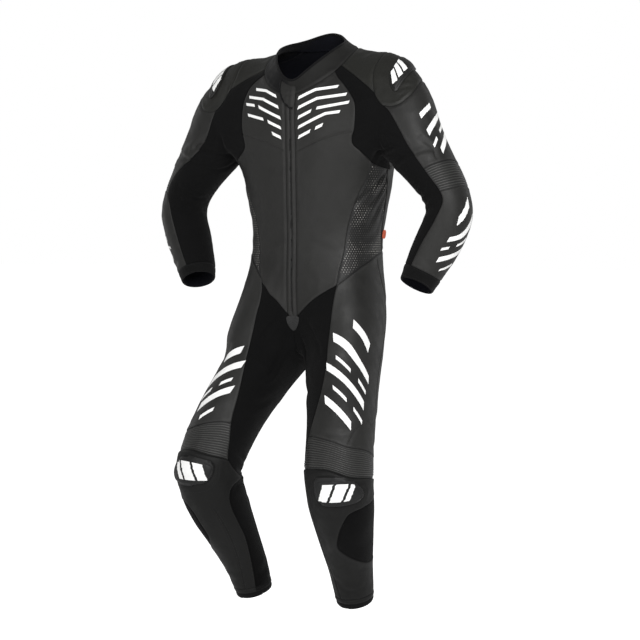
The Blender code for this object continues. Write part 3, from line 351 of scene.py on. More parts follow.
# ------------------------------------------------------------------ garment coordinates
class Form:
    """The smooth shell and the way to find a point on it from garment measures."""

    def __init__(self, V, F, where):
        self.V, self.F, self.where = V, F, where
        self.tree = {}
        groups = {"arm_l": ("arm_l", "torso", "collar"), "arm_r": ("arm_r", "torso", "collar"), "leg_l": ("leg_l", "torso"),
                  "leg_r": ("leg_r", "torso"), "torso": ("torso", "collar", "arm_l", "arm_r", "leg_l", "leg_r")}
        tags = np.array(where)
        for name, use in groups.items():
            keep = np.isin(tags, use)
            self.tree[name] = BVHTree.FromPolygons([Vector(p) for p in V], [tuple(int(i) for i in f) for f in F[keep]])
        self.axis = {}
        for limb, table in (("arm", ARM_LINE), ("leg", LEG_LINE)):
            for tag, side in (("_l", 1), ("_r", -1)):
                self.axis[limb + tag] = (smooth_axis(table, side), side)

    def on_axis(self, limb, along):
        line, side = self.axis[limb]
        step = np.linalg.norm(np.diff(line, axis=0), axis=1)
        length = np.concatenate([[0], np.cumsum(step)])
        i = int(np.clip(np.searchsorted(length, along) - 1, 0, len(step) - 1))
        t = (along - length[i]) / step[i]
        d = line[i + 1] - line[i]
        return line[i] + d * t, axes_across(d, side)

    def at(self, where, along, angle, tag):
        side = 1 if tag == "_l" else -1
        if where == "level" or where == "armr" or where == "legr":
            where, along, angle = {"level": "torso", "armr": "arm", "legr": "leg"}[where], angle, along
        if where == "mid":
            return self.nearest(np.array([0.0, along, angle]))
        if where == "torso":
            a = math.radians(angle)
            o = np.array([0.0, BODY_CENTRE_Y, along])
            d = np.array([side * math.sin(a), -math.cos(a), 0.0])
            hit = self.tree["torso"].ray_cast(Vector(o), Vector(d))
        elif where == "top":
            o = np.array([side * angle, along, 120.0])
            hit = self.tree["torso"].ray_cast(Vector(o), Vector((0, 0, -1)))
        else:
            o, (u, v, _) = self.on_axis(where + tag, along)
            a = math.radians(angle)
            d = u * math.cos(a) + v * math.sin(a)
            hit = self.tree[where + tag].ray_cast(Vector(o), Vector(d))
            if hit[0] is None:
                hit = self.tree[where + tag].find_nearest(Vector(o + d * 45))
        if hit[0] is None:
            raise ValueError("no surface at %s %s %s" % (where, along, angle))
        return np.array(hit[0])

    def nearest(self, p):
        return np.array(self.tree["torso"].find_nearest(Vector(p))[0])

    def normal(self, p):
        return np.array(self.tree["torso"].find_nearest(Vector(p))[1])


def smooth_axis(table, side, n=6):
    P = np.array([(side * x, y, z) for x, y, z in table], float)
    out = [P[0]]
    for i in range(len(P) - 1):
        a, b, c, d = P[max(i - 1, 0)], P[i], P[i + 1], P[min(i + 2, len(P) - 1)]
        for k in range(1, n + 1):
            t = k / n
            out.append(0.5 * (2 * b + (c - a) * t + (2 * a - 5 * b + 4 * c - d) * t * t + (3 * b - a - 3 * c + d) * t ** 3))
    return np.array(out)


def seam_line(form, rows, tag, closed=False, step=6.0):
    """Seam as a smooth run of points on the shell."""
    P = [form.at(w, a, b, tag) for w, a, b in rows]
    n = len(P)
    out = []
    for i in range(n if closed else n - 1):
        a, b, c, d = (P[(i - 1) % n], P[i], P[(i + 1) % n], P[(i + 2) % n]) if closed else \
            (P[max(i - 1, 0)], P[i], P[i + 1], P[min(i + 2, n - 1)])
        k = max(2, int(np.linalg.norm(c - b) / step))
        for j in range(k):
            t = j / k
            out.append(0.5 * (2 * b + (c - a) * t + (2 * a - 5 * b + 4 * c - d) * t * t + (3 * b - a - 3 * c + d) * t ** 3))
    if not closed:
        out.append(P[-1])
    return np.array([form.nearest(p) for p in out])


def run_on(form, line, by, step=5.0):
    """Runs an open seam on past both ends, along the shell, so that it meets the seams it ends on."""
    out = list(line)
    for end in (0, 1):
        a, b = (out[0], out[2]) if end == 0 else (out[-1], out[-3])
        d = (a - b) / np.linalg.norm(a - b)
        p, extra = a, []
        for _ in range(int(by / step)):
            q = form.nearest(p + d * step)
            m = q - p
            if np.linalg.norm(m) > 1e-6:
                d = m / np.linalg.norm(m)
            p = q
            extra.append(q)
        out = extra[::-1] + out if end == 0 else out + extra
    return np.array(out)


def vertex_normals(V, F):
    fn = np.cross(V[F[:, 2]] - V[F[:, 0]], V[F[:, 3]] - V[F[:, 1]])
    N = np.zeros_like(V)
    for k in range(4):
        np.add.at(N, F[:, k], fn)
    return N / np.linalg.norm(N, axis=1)[:, None]



def side_rows(rows, tag):
    k = 2 if tag == "_l" else 3
    return [(r[0], r[1], r[k]) for r in rows]



def dense(points, step=6.0, closed=False):
    out = []
    pts = list(points) + ([points[0]] if closed else [])
    for a, b in zip(pts[:-1], pts[1:]):
        k = max(1, int(np.linalg.norm(b - a) / step))
        out += [a + (b - a) * (j / k) for j in range(k)]
    if not closed:
        out.append(pts[-1])
    return np.array(out)



SEEDS = {
    "collar": [("torso", 32, 180)], "zip": [("torso", -400, 0)],
    "back": [("torso", -250, 180)], "seat": [("torso", -600, 180)],
}
SIDE_SEEDS = {
    "front": [("torso", -400, 25)], "side": [("torso", -380, 82)], "stretch": [("arm", 100, 125)],
    "yoke": [("top", 0, 140)], "cup": [("arm", -20, 92)], "sleeve": [("arm", 130, 0)], "elbow_rib": [("arm", 258, 0)],
    "forearm": [("arm", 380, 0)], "cuff": [("arm", 490, 0), ("arm", 490, 165)], "thigh": [("leg", 80, 0)],
    "thigh_back": [("leg", 130, -100)], "groin": [("leg", 100, 180)], "knee_rib": [("leg", 235, 20)],
    "shin": [("leg", 380, 115), ("leg", 550, 20)], "calf": [("leg", 430, -90)], "hem": [("leg", 604, 60), ("leg", 604, 175)],
}



# outline rows (along, angle) on the left side; turn = how far round the right one sits
LAID = {
    "shoulder_cap": {"where": "arm", "left": [(8, 64), (-14, 71), (-42, 67), (-62, 50), (-80, 12), (-88, -20), (-86, -46),
                                              (-72, -60), (-56, -52), (-50, -30), (-42, 0), (-28, 24), (-10, 46)],
                     "turn": 0, "shift": 0, "edge": 2.4, "top": 5.5, "bevel": 16, "per_degree": 1.4, "lift": 0, "spacing": 15},
    "knee_slider": {"where": "leg", "left": [(269, 106), (263.5, 97), (263, 76), (264.5, 56), (268.5, 34), (277, 20), (288, 12),
                                             (295.5, 22), (296.5, 48), (296, 75), (294, 95), (284, 106)],
                    "turn": 27, "shift": -14, "edge": 6.0, "top": 12.0, "bevel": 9, "per_degree": 1.45, "lift": 0, "spacing": 8},
    "zip_flap": {"where": "torso", "left": [(-78, -13), (-100, -13), (-118, -10), (-132, -6), (-143, 0), (-146, 4), (-138, 6.5),
                                            (-116, 6.8), (-93, 7), (-93, 0), (-88, -6)],
                 "edge": 1.4, "top": 1.4, "bevel": 5, "per_degree": 2.25, "lift": 0, "spacing": 12},
    "gusset": {"where": "torso", "left": [(-636, 9), (-648, 9.5), (-664, 6), (-674, 0.5), (-664, -5), (-648, -8), (-636, -7.5)],
               "edge": 1.2, "top": 1.2, "bevel": 5, "per_degree": 2.1, "lift": 0, "spacing": 12},
    "side_tab": {"where": "torso", "left": [(-432, 103.5), (-432, 110), (-453, 110), (-453, 103.5)],
                 "edge": 1.0, "top": 1.0, "bevel": 5, "per_degree": 2.8, "lift": 5.0, "spacing": 7},
}



def inside(p, poly):
    odd = False
    for (x1, y1), (x2, y2) in zip(poly, poly[1:] + poly[:1]):
        if (y1 > p[1]) != (y2 > p[1]) and p[0] < (x2 - x1) * (p[1] - y1) / (y2 - y1) + x1:
            odd = not odd
    return odd


def to_edge(p, poly):
    best = 1e9
    for (x1, y1), (x2, y2) in zip(poly, poly[1:] + poly[:1]):
        dx, dy = x2 - x1, y2 - y1
        t = min(1, max(0, ((p[0] - x1) * dx + (p[1] - y1) * dy) / (dx * dx + dy * dy)))
        best = min(best, math.hypot(p[0] - x1 - t * dx, p[1] - y1 - t * dy))
    return best



# ------------------------------------------------------------------ cutting a fine shell
def nearest_on(P, line, closed=False):
    """Nearest point of a run of points to each P: segment, share along it, foot, distance."""
    A = line
    B = np.roll(line, -1, 0)
    if not closed:
        A, B = line[:-1], line[1:]
    T = B - A
    L2 = np.maximum((T * T).sum(1), 1e-12)
    m = len(A)
    ks, ts, qs, rs = [], [], [], []
    for c in range(0, len(P), 20000):
        p = P[c:c + 20000]
        d2 = (p ** 2).sum(1)[:, None] - 2 * p @ line.T + (line ** 2).sum(1)[None]
        j = d2.argmin(1)
        best = np.full(len(p), np.inf)
        bk, bt, bq = np.zeros(len(p), int), np.zeros(len(p)), np.zeros((len(p), 3))
        for off in (-2, -1, 0, 1):
            k = (j + off) % m if closed else np.clip(j + off, 0, m - 1)
            t = np.clip(((p - A[k]) * T[k]).sum(1) / L2[k], 0, 1)
            q = A[k] + T[k] * t[:, None]
            r = np.linalg.norm(p - q, axis=1)
            b = r < best
            best[b], bk[b], bt[b], bq[b] = r[b], k[b], t[b], q[b]
        ks.append(bk)
        ts.append(bt)
        qs.append(bq)
        rs.append(best)
    return np.concatenate(ks), np.concatenate(ts), np.concatenate(qs), np.concatenate(rs)


class Skin:
    """Fine shell as padded face rows, cut along level lines of a field on its vertices."""

    WIDE = 16

    def __init__(self, V, F, where):
        kinds = sorted(set(where))
        self.kinds = kinds
        self.V = V.copy()
        self.N = vertex_normals(V, F)
        self.F = np.full((len(F), self.WIDE), -1, np.int64)
        self.F[:, :4] = F
        self.n = np.full(len(F), 4, np.int64)
        look = {w: i for i, w in enumerate(kinds)}
        self.data = {"part": np.array([look[w] for w in where])}     # one value a face
        self.carry = {}                                              # one value a vertex
        self.locked = np.zeros(len(V), bool)
        self.cuts = set()

    def in_parts(self, parts):
        ids = [self.kinds.index(p) for p in parts if p in self.kinds]
        ok = np.zeros(len(self.V) + 1, bool)
        ok[self.F[np.isin(self.data["part"], ids)].ravel()] = True
        return ok[:-1]

    def distance(self, line, closed, reach, parts, facing):
        d = np.full(len(self.V), np.nan)
        lo, hi = line.min(0) - reach, line.max(0) + reach
        ok = ((self.V > lo) & (self.V < hi)).all(1)
        if parts:
            ok &= self.in_parts(parts)
        ids = np.flatnonzero(ok)
        if not len(ids):
            return d
        k, t, q, r = nearest_on(self.V[ids], line, closed)
        T = (np.roll(line, -1, 0) - line) if closed else np.diff(line, axis=0)
        node = np.zeros_like(line)
        if closed:
            node = np.roll(T, 1, 0) + T
        else:
            node[:-1] += T
            node[1:] += T
        node /= np.linalg.norm(node, axis=1)[:, None]
        keep = r < reach
        ahead = np.minimum(k + 1, len(line) - 1)
        keep &= np.maximum((self.N[ids] * facing[k]).sum(1), (self.N[ids] * facing[ahead]).sum(1)) >= 0.15
        if not closed:
            keep &= ~((k == 0) & (t <= 0)) & ~((k == len(T) - 1) & (t >= 1))
        k2 = (k + 1) % len(line)
        tangent = node[k] * (1 - t)[:, None] + node[k2] * t[:, None]
        side = (np.cross(self.N[ids], tangent) * (self.V[ids] - q)).sum(1)
        value = np.where(side >= 0, r, -r)
        d[ids[keep]] = value[keep]
        return d

    def cut_line(self, line, form, closed=False, reach=14.0, parts=(), snap=0.3):
        if not closed:
            line = run_on(form, line, END_RUN)
        facing = np.array([form.normal(p) for p in line])
        self.cut(self.distance(line, closed, reach, parts, facing), snap)

    def cut(self, d, snap=0.3, mark=True):
        F, n = self.F, self.n
        df = np.append(d, np.nan)[F]
        bad = np.isnan(df)
        low = np.where(bad, np.inf, df).min(1)
        high = np.where(bad, -np.inf, df).max(1)
        ids = np.flatnonzero((low < 0) & (high > 0))
        crossing = set()
        for i in ids:
            f = F[i, :n[i]].tolist()
            for a, b in zip(f, f[1:] + f[:1]):
                if d[a] * d[b] < 0:
                    crossing.add((a, b) if a < b else (b, a))
        rank = []
        for a, b in crossing:
            t = d[a] / (d[a] - d[b])
            rank.append((min(t, 1 - t), a, b, t))
        rank.sort()
        V, N = self.V, self.N
        for r, a, b, t in rank:
            if r > snap:
                break
            if d[a] * d[b] >= 0:
                continue
            v = a if t < 0.5 else b
            if not self.locked[v]:
                w = b if v == a else a
                tv = t if v == a else 1 - t
                V[v] = V[v] * (1 - tv) + V[w] * tv
                m = N[v] * (1 - tv) + N[w] * tv
                N[v] = m / np.linalg.norm(m)
                for c in self.carry.values():
                    c[v] = c[v] * (1 - tv) + c[w] * tv
            elif r > 0.5 * snap:
                continue
            d[v] = 0.0
            self.locked[v] = True
        if mark:
            df = np.append(d, np.nan)[F]
            for i in np.flatnonzero((df == 0).sum(1) >= 2):
                f = F[i, :n[i]].tolist()
                for a, b in zip(f, f[1:] + f[:1]):
                    if d[a] == 0 and d[b] == 0:
                        self.cuts.add((a, b) if a < b else (b, a))
        made, mix = {}, []
        base = len(V)
        rows, owner, gone = [], [], []
        for i in ids:
            f = F[i, :n[i]].tolist()
            df = [d[a] for a in f]
            real = [x for x in df if x == x]
            if not min(real) < 0 < max(real):
                continue
            loop, marks = [], []
            for a, b in zip(f, f[1:] + f[:1]):
                if d[a] == 0:
                    marks.append(len(loop))
                loop.append(a)
                if d[a] * d[b] < 0:
                    key = (a, b) if a < b else (b, a)
                    if key not in made:
                        made[key] = base + len(mix)
                        mix.append((a, b, d[a] / (d[a] - d[b])))
                        if key in self.cuts:
                            self.cuts.discard(key)
                            self.cuts.add((a, made[key]))
                            self.cuts.add((b, made[key]))
                    marks.append(len(loop))
                    loop.append(made[key])
            gone.append(i)
            pieces = [loop]
            if len(marks) == 2:
                p, q = marks
                if q - p > 1 and not (p == 0 and q == len(loop) - 1):
                    pieces = [loop[p:q + 1], loop[q:] + loop[:p + 1]]
                if mark:
                    a, b = loop[p], loop[q]
                    self.cuts.add((a, b) if a < b else (b, a))
            for piece in pieces:
                rows.append(piece)
                owner.append(i)
        if not gone:
            return
        keep = np.ones(len(F), bool)
        keep[gone] = False
        extra = np.full((len(rows), self.WIDE), -1, np.int64)
        for j, row in enumerate(rows):
            extra[j, :len(row)] = row
        self.F = np.concatenate([F[keep], extra])
        self.n = np.concatenate([n[keep], [len(r) for r in rows]])
        for key, value in self.data.items():
            self.data[key] = np.concatenate([value[keep], value[owner]])
        if mix:
            a = np.array([m[0] for m in mix])
            b = np.array([m[1] for m in mix])
            t = np.array([m[2] for m in mix])
            t1 = t[:, None]
            self.V = np.concatenate([V, V[a] * (1 - t1) + V[b] * t1])
            m = N[a] * (1 - t1) + N[b] * t1
            self.N = np.concatenate([N, m / np.linalg.norm(m, axis=1)[:, None]])
            for key, c in self.carry.items():
                self.carry[key] = np.concatenate([c, c[a] * (1 - t) + c[b] * t])
            self.locked = np.concatenate([self.locked, np.ones(len(mix), bool)])

    def edges(self):
        """Edges with a face on both sides (a, b, face, face), and free ones (a, b, face)."""
        F, n = self.F, self.n
        rows = []
        for k in range(self.WIDE):
            i = np.flatnonzero(n > k)
            if len(i):
                rows.append(np.stack([F[i, k], F[i, (k + 1) % n[i]], i], 1))
        E = np.concatenate(rows)
        key = np.minimum(E[:, 0], E[:, 1]) * (len(self.V) + 1) + np.maximum(E[:, 0], E[:, 1])
        order = np.argsort(key, kind="stable")
        key, E = key[order], E[order]
        first = np.flatnonzero(key[1:] == key[:-1])
        lone = np.ones(len(key), bool)
        lone[first] = False
        lone[first + 1] = False
        return np.stack([E[first, 0], E[first, 1], E[first, 2], E[first + 1, 2]], 1), E[lone]

    def centres(self):
        pad = np.concatenate([self.V, np.zeros((1, 3))])
        return pad[self.F].sum(1) / self.n[:, None]

    def areas(self):
        """Area of each face, as a fan round its first vertex."""
        total = np.zeros((len(self.F), 3))
        a = self.V[self.F[:, 0]]
        for k in range(1, self.WIDE - 1):
            i = np.flatnonzero(self.n > k + 1)
            if not len(i):
                break
            total[i] += np.cross(self.V[self.F[i, k]] - a[i], self.V[self.F[i, k + 1]] - a[i]) / 2
        return np.linalg.norm(total, axis=1)

    def regions(self):
        """Number of the sewn region of each face."""
        pairs, _ = self.edges()
        m = len(self.V) + 1
        cut = np.array([a * m + b for a, b in self.cuts])
        key = np.minimum(pairs[:, 0], pairs[:, 1]) * m + np.maximum(pairs[:, 0], pairs[:, 1])
        part = self.data["part"]
        collar = self.kinds.index("collar")
        i, j = pairs[:, 2], pairs[:, 3]
        join = ~np.isin(key, cut) & ~((part[i] != part[j]) & ((part[i] == collar) | (part[j] == collar)))
        i, j = i[join], j[join]
        label = np.arange(len(self.F))
        while True:
            a, b = label[i], label[j]
            if (a == b).all():
                return label
            low = np.minimum(a, b)
            np.minimum.at(label, a, low)
            np.minimum.at(label, b, low)
            while True:
                up = label[label]
                if (up == label).all():
                    break
                label = up


# ------------------------------------------------------------------ the sewn regions
KIND = {"collar": "collar", "stretch": "stretch", "groin": "stretch", "calf": "stretch", "elbow_rib": "rib",
        "knee_rib": "rib", "side": "side", "cuff": "cuff", "hem": "cuff"}
CUT_ORDER = ("front_edge", "side_front", "v_edge", "side_back", "waist", "stretch_outer", "armhole", "stretch_back",
             "cup_out", "yoke_back", "elbow_top", "elbow_bottom", "groin_front", "hip_side", "groin_back",
             "knee_top", "knee_bottom", "calf_edge")
RIBS = {"elbow_rib": ("elbow_top", "elbow_bottom", 11, 2.1), "knee_rib": ("knee_top", "knee_bottom", 14, 2.1)}


def stem(name):
    return name[:-2] if name[-2:] in ("_l", "_r") else name


def kind(name):
    return KIND.get(stem(name), "leather")


def make_skin():
    V, F, where = build_cage()
    for level in range(4):
        V, F, where = subdivide(V, F, where)
        if level == 2:
            form = Form(V, F, where)
    skin = Skin(V, F, where)
    lines = {}
    w = ZIP["half_width"]
    for tag, side in (("_l", 1), ("_r", -1)):
        pts = []
        for z in (-92, -110, -130, -170, -220, -300, -400, -500, -600, -640, -664):
            hit = form.tree["torso"].ray_cast(Vector((side * w, -400, z)), Vector((0, 1, 0)))
            pts.append(np.array(hit[0]))
        skin.cut_line(dense(pts), form, parts=("torso", "collar"))
    for name in CUT_ORDER:
        for tag in ("_l", "_r"):
            line = seam_line(form, side_rows(SEAMS[name], tag), tag, name in CLOSED)
            lines[name + tag] = line
            skin.cut_line(line, form, closed=name in CLOSED, parts=("torso", "arm" + tag, "leg" + tag))
    for tag in ("_l", "_r"):
        for limb, s in (("arm", CUFF_AT), ("leg", HEM_AT)):
            rows = [(limb, s, a) for a in range(0, 360, 30)]
            skin.cut_line(seam_line(form, rows, tag, True), form, closed=True, parts=(limb + tag,))
        skin.cut_line(seam_line(form, SEAT_FOLD, tag), form, parts=("torso", "leg" + tag))
    # both seat folds meet at the crotch in one run
    ends = [form.at(*SEAT_FOLD[-2], "_l"), form.at(*SEAT_FOLD[-1], "_l"), form.at(*SEAT_FOLD[-2], "_r")]
    line = np.array([form.nearest(p) for p in dense(ends)])
    skin.cut_line(line, form, parts=("torso", "leg_l", "leg_r"))
    line = [form.nearest(np.array([0.0, y, z])) for z, y in CROTCH_LINE]
    skin.cut_line(dense(line), form, parts=("torso", "leg_l", "leg_r"))
    return form, skin, lines


def name_faces(form, skin):
    reg = skin.regions()
    centre = skin.centres()
    title, clash = {}, []

    def put(name, p):
        r = int(reg[int(np.argmin(((centre - p) ** 2).sum(1)))])
        if r in title and title[r] != name:
            clash.append((title[r], name))
        title[r] = name
    for name, seeds in SEEDS.items():
        for s in seeds:
            put(name, form.at(*s, "_l"))
    for name, seeds in SIDE_SEEDS.items():
        for tag in ("_l", "_r"):
            for s in seeds:
                put(name + tag, form.at(*s, tag))
    pairs, _ = skin.edges()
    i, j = reg[pairs[:, 2]], reg[pairs[:, 3]]
    other = i != j
    i, j = i[other], j[other]
    length = np.linalg.norm(skin.V[pairs[other, 0]] - skin.V[pairs[other, 1]], axis=1)
    for _ in range(8):          # slivers join the neighbour they share most edge with
        share = {}
        for a, b, x in zip(i.tolist(), j.tolist(), length.tolist()):
            for m, o in ((a, b), (b, a)):
                if m not in title:
                    share.setdefault(m, {})
                    share[m][o] = share[m].get(o, 0) + x
        if not share:
            break
        new = {}
        for m, options in share.items():
            for o in sorted(options, key=options.get, reverse=True):
                if o in title:
                    new[m] = title[o]
                    break
        title.update(new)
    names = sorted(set(title.values()))
    number = {n: k for k, n in enumerate(names)}
    skin.data["name"] = np.array([number.get(title.get(int(r), "?"), -1) for r in reg])
    return names, clash


def border_segments(skin):
    """Seam edges and free edges of the named regions."""
    pairs, lone = skin.edges()
    name = skin.data["name"]
    seam = pairs[name[pairs[:, 2]] != name[pairs[:, 3]]]
    return seam, lone


def sample_segments(A, B, step=1.2):
    length = np.linalg.norm(B - A, axis=1)
    k = np.maximum(1, np.ceil(length / step).astype(int))
    own = np.repeat(np.arange(len(A)), k)
    start = np.cumsum(k) - k
    t = (np.arange(k.sum()) - start[own] + 0.5) / k[own]
    return A[own] + (B[own] - A[own]) * t[:, None], own


def seam_distance(P, A, B, far=14.0):
    """Distance of each point to the nearest of the segments, and which one."""
    S, own = sample_segments(A, B)
    cell = far
    lo = P.min(0) - 2 * cell
    key = lambda X: (((X - lo) / cell).astype(int) * np.array([1, 4096, 4096 * 4096])).sum(1)
    near = set(key(S).tolist())
    full = set()
    for d in ((x, y, z) for x in (-1, 0, 1) for y in (-1, 0, 1) for z in (-1, 0, 1)):
        shift = d[0] + d[1] * 4096 + d[2] * 4096 * 4096
        full.update(k + shift for k in near)
    use = np.flatnonzero(np.isin(key(P), np.array(list(full))))
    tree = KDTree(len(S))
    for i, s in enumerate(S.tolist()):
        tree.insert(s, i)
    tree.balance()
    D = np.full(len(P), far)
    which = np.full(len(P), -1)
    hit = np.array([tree.find(p)[1] for p in P[use].tolist()])
    seg = own[hit]
    T = B[seg] - A[seg]
    t = np.clip(((P[use] - A[seg]) * T).sum(1) / np.maximum((T * T).sum(1), 1e-12), 0, 1)
    r = np.linalg.norm(P[use] - A[seg] - T * t[:, None], axis=1)
    D[use] = np.minimum(r, far)
    which[use] = seg
    return D, which


def rib_value(P, top, bottom, count):
    _, _, _, a = nearest_on(P, top)
    _, _, _, b = nearest_on(P, bottom)
    return a / np.maximum(a + b, 1e-9) * count


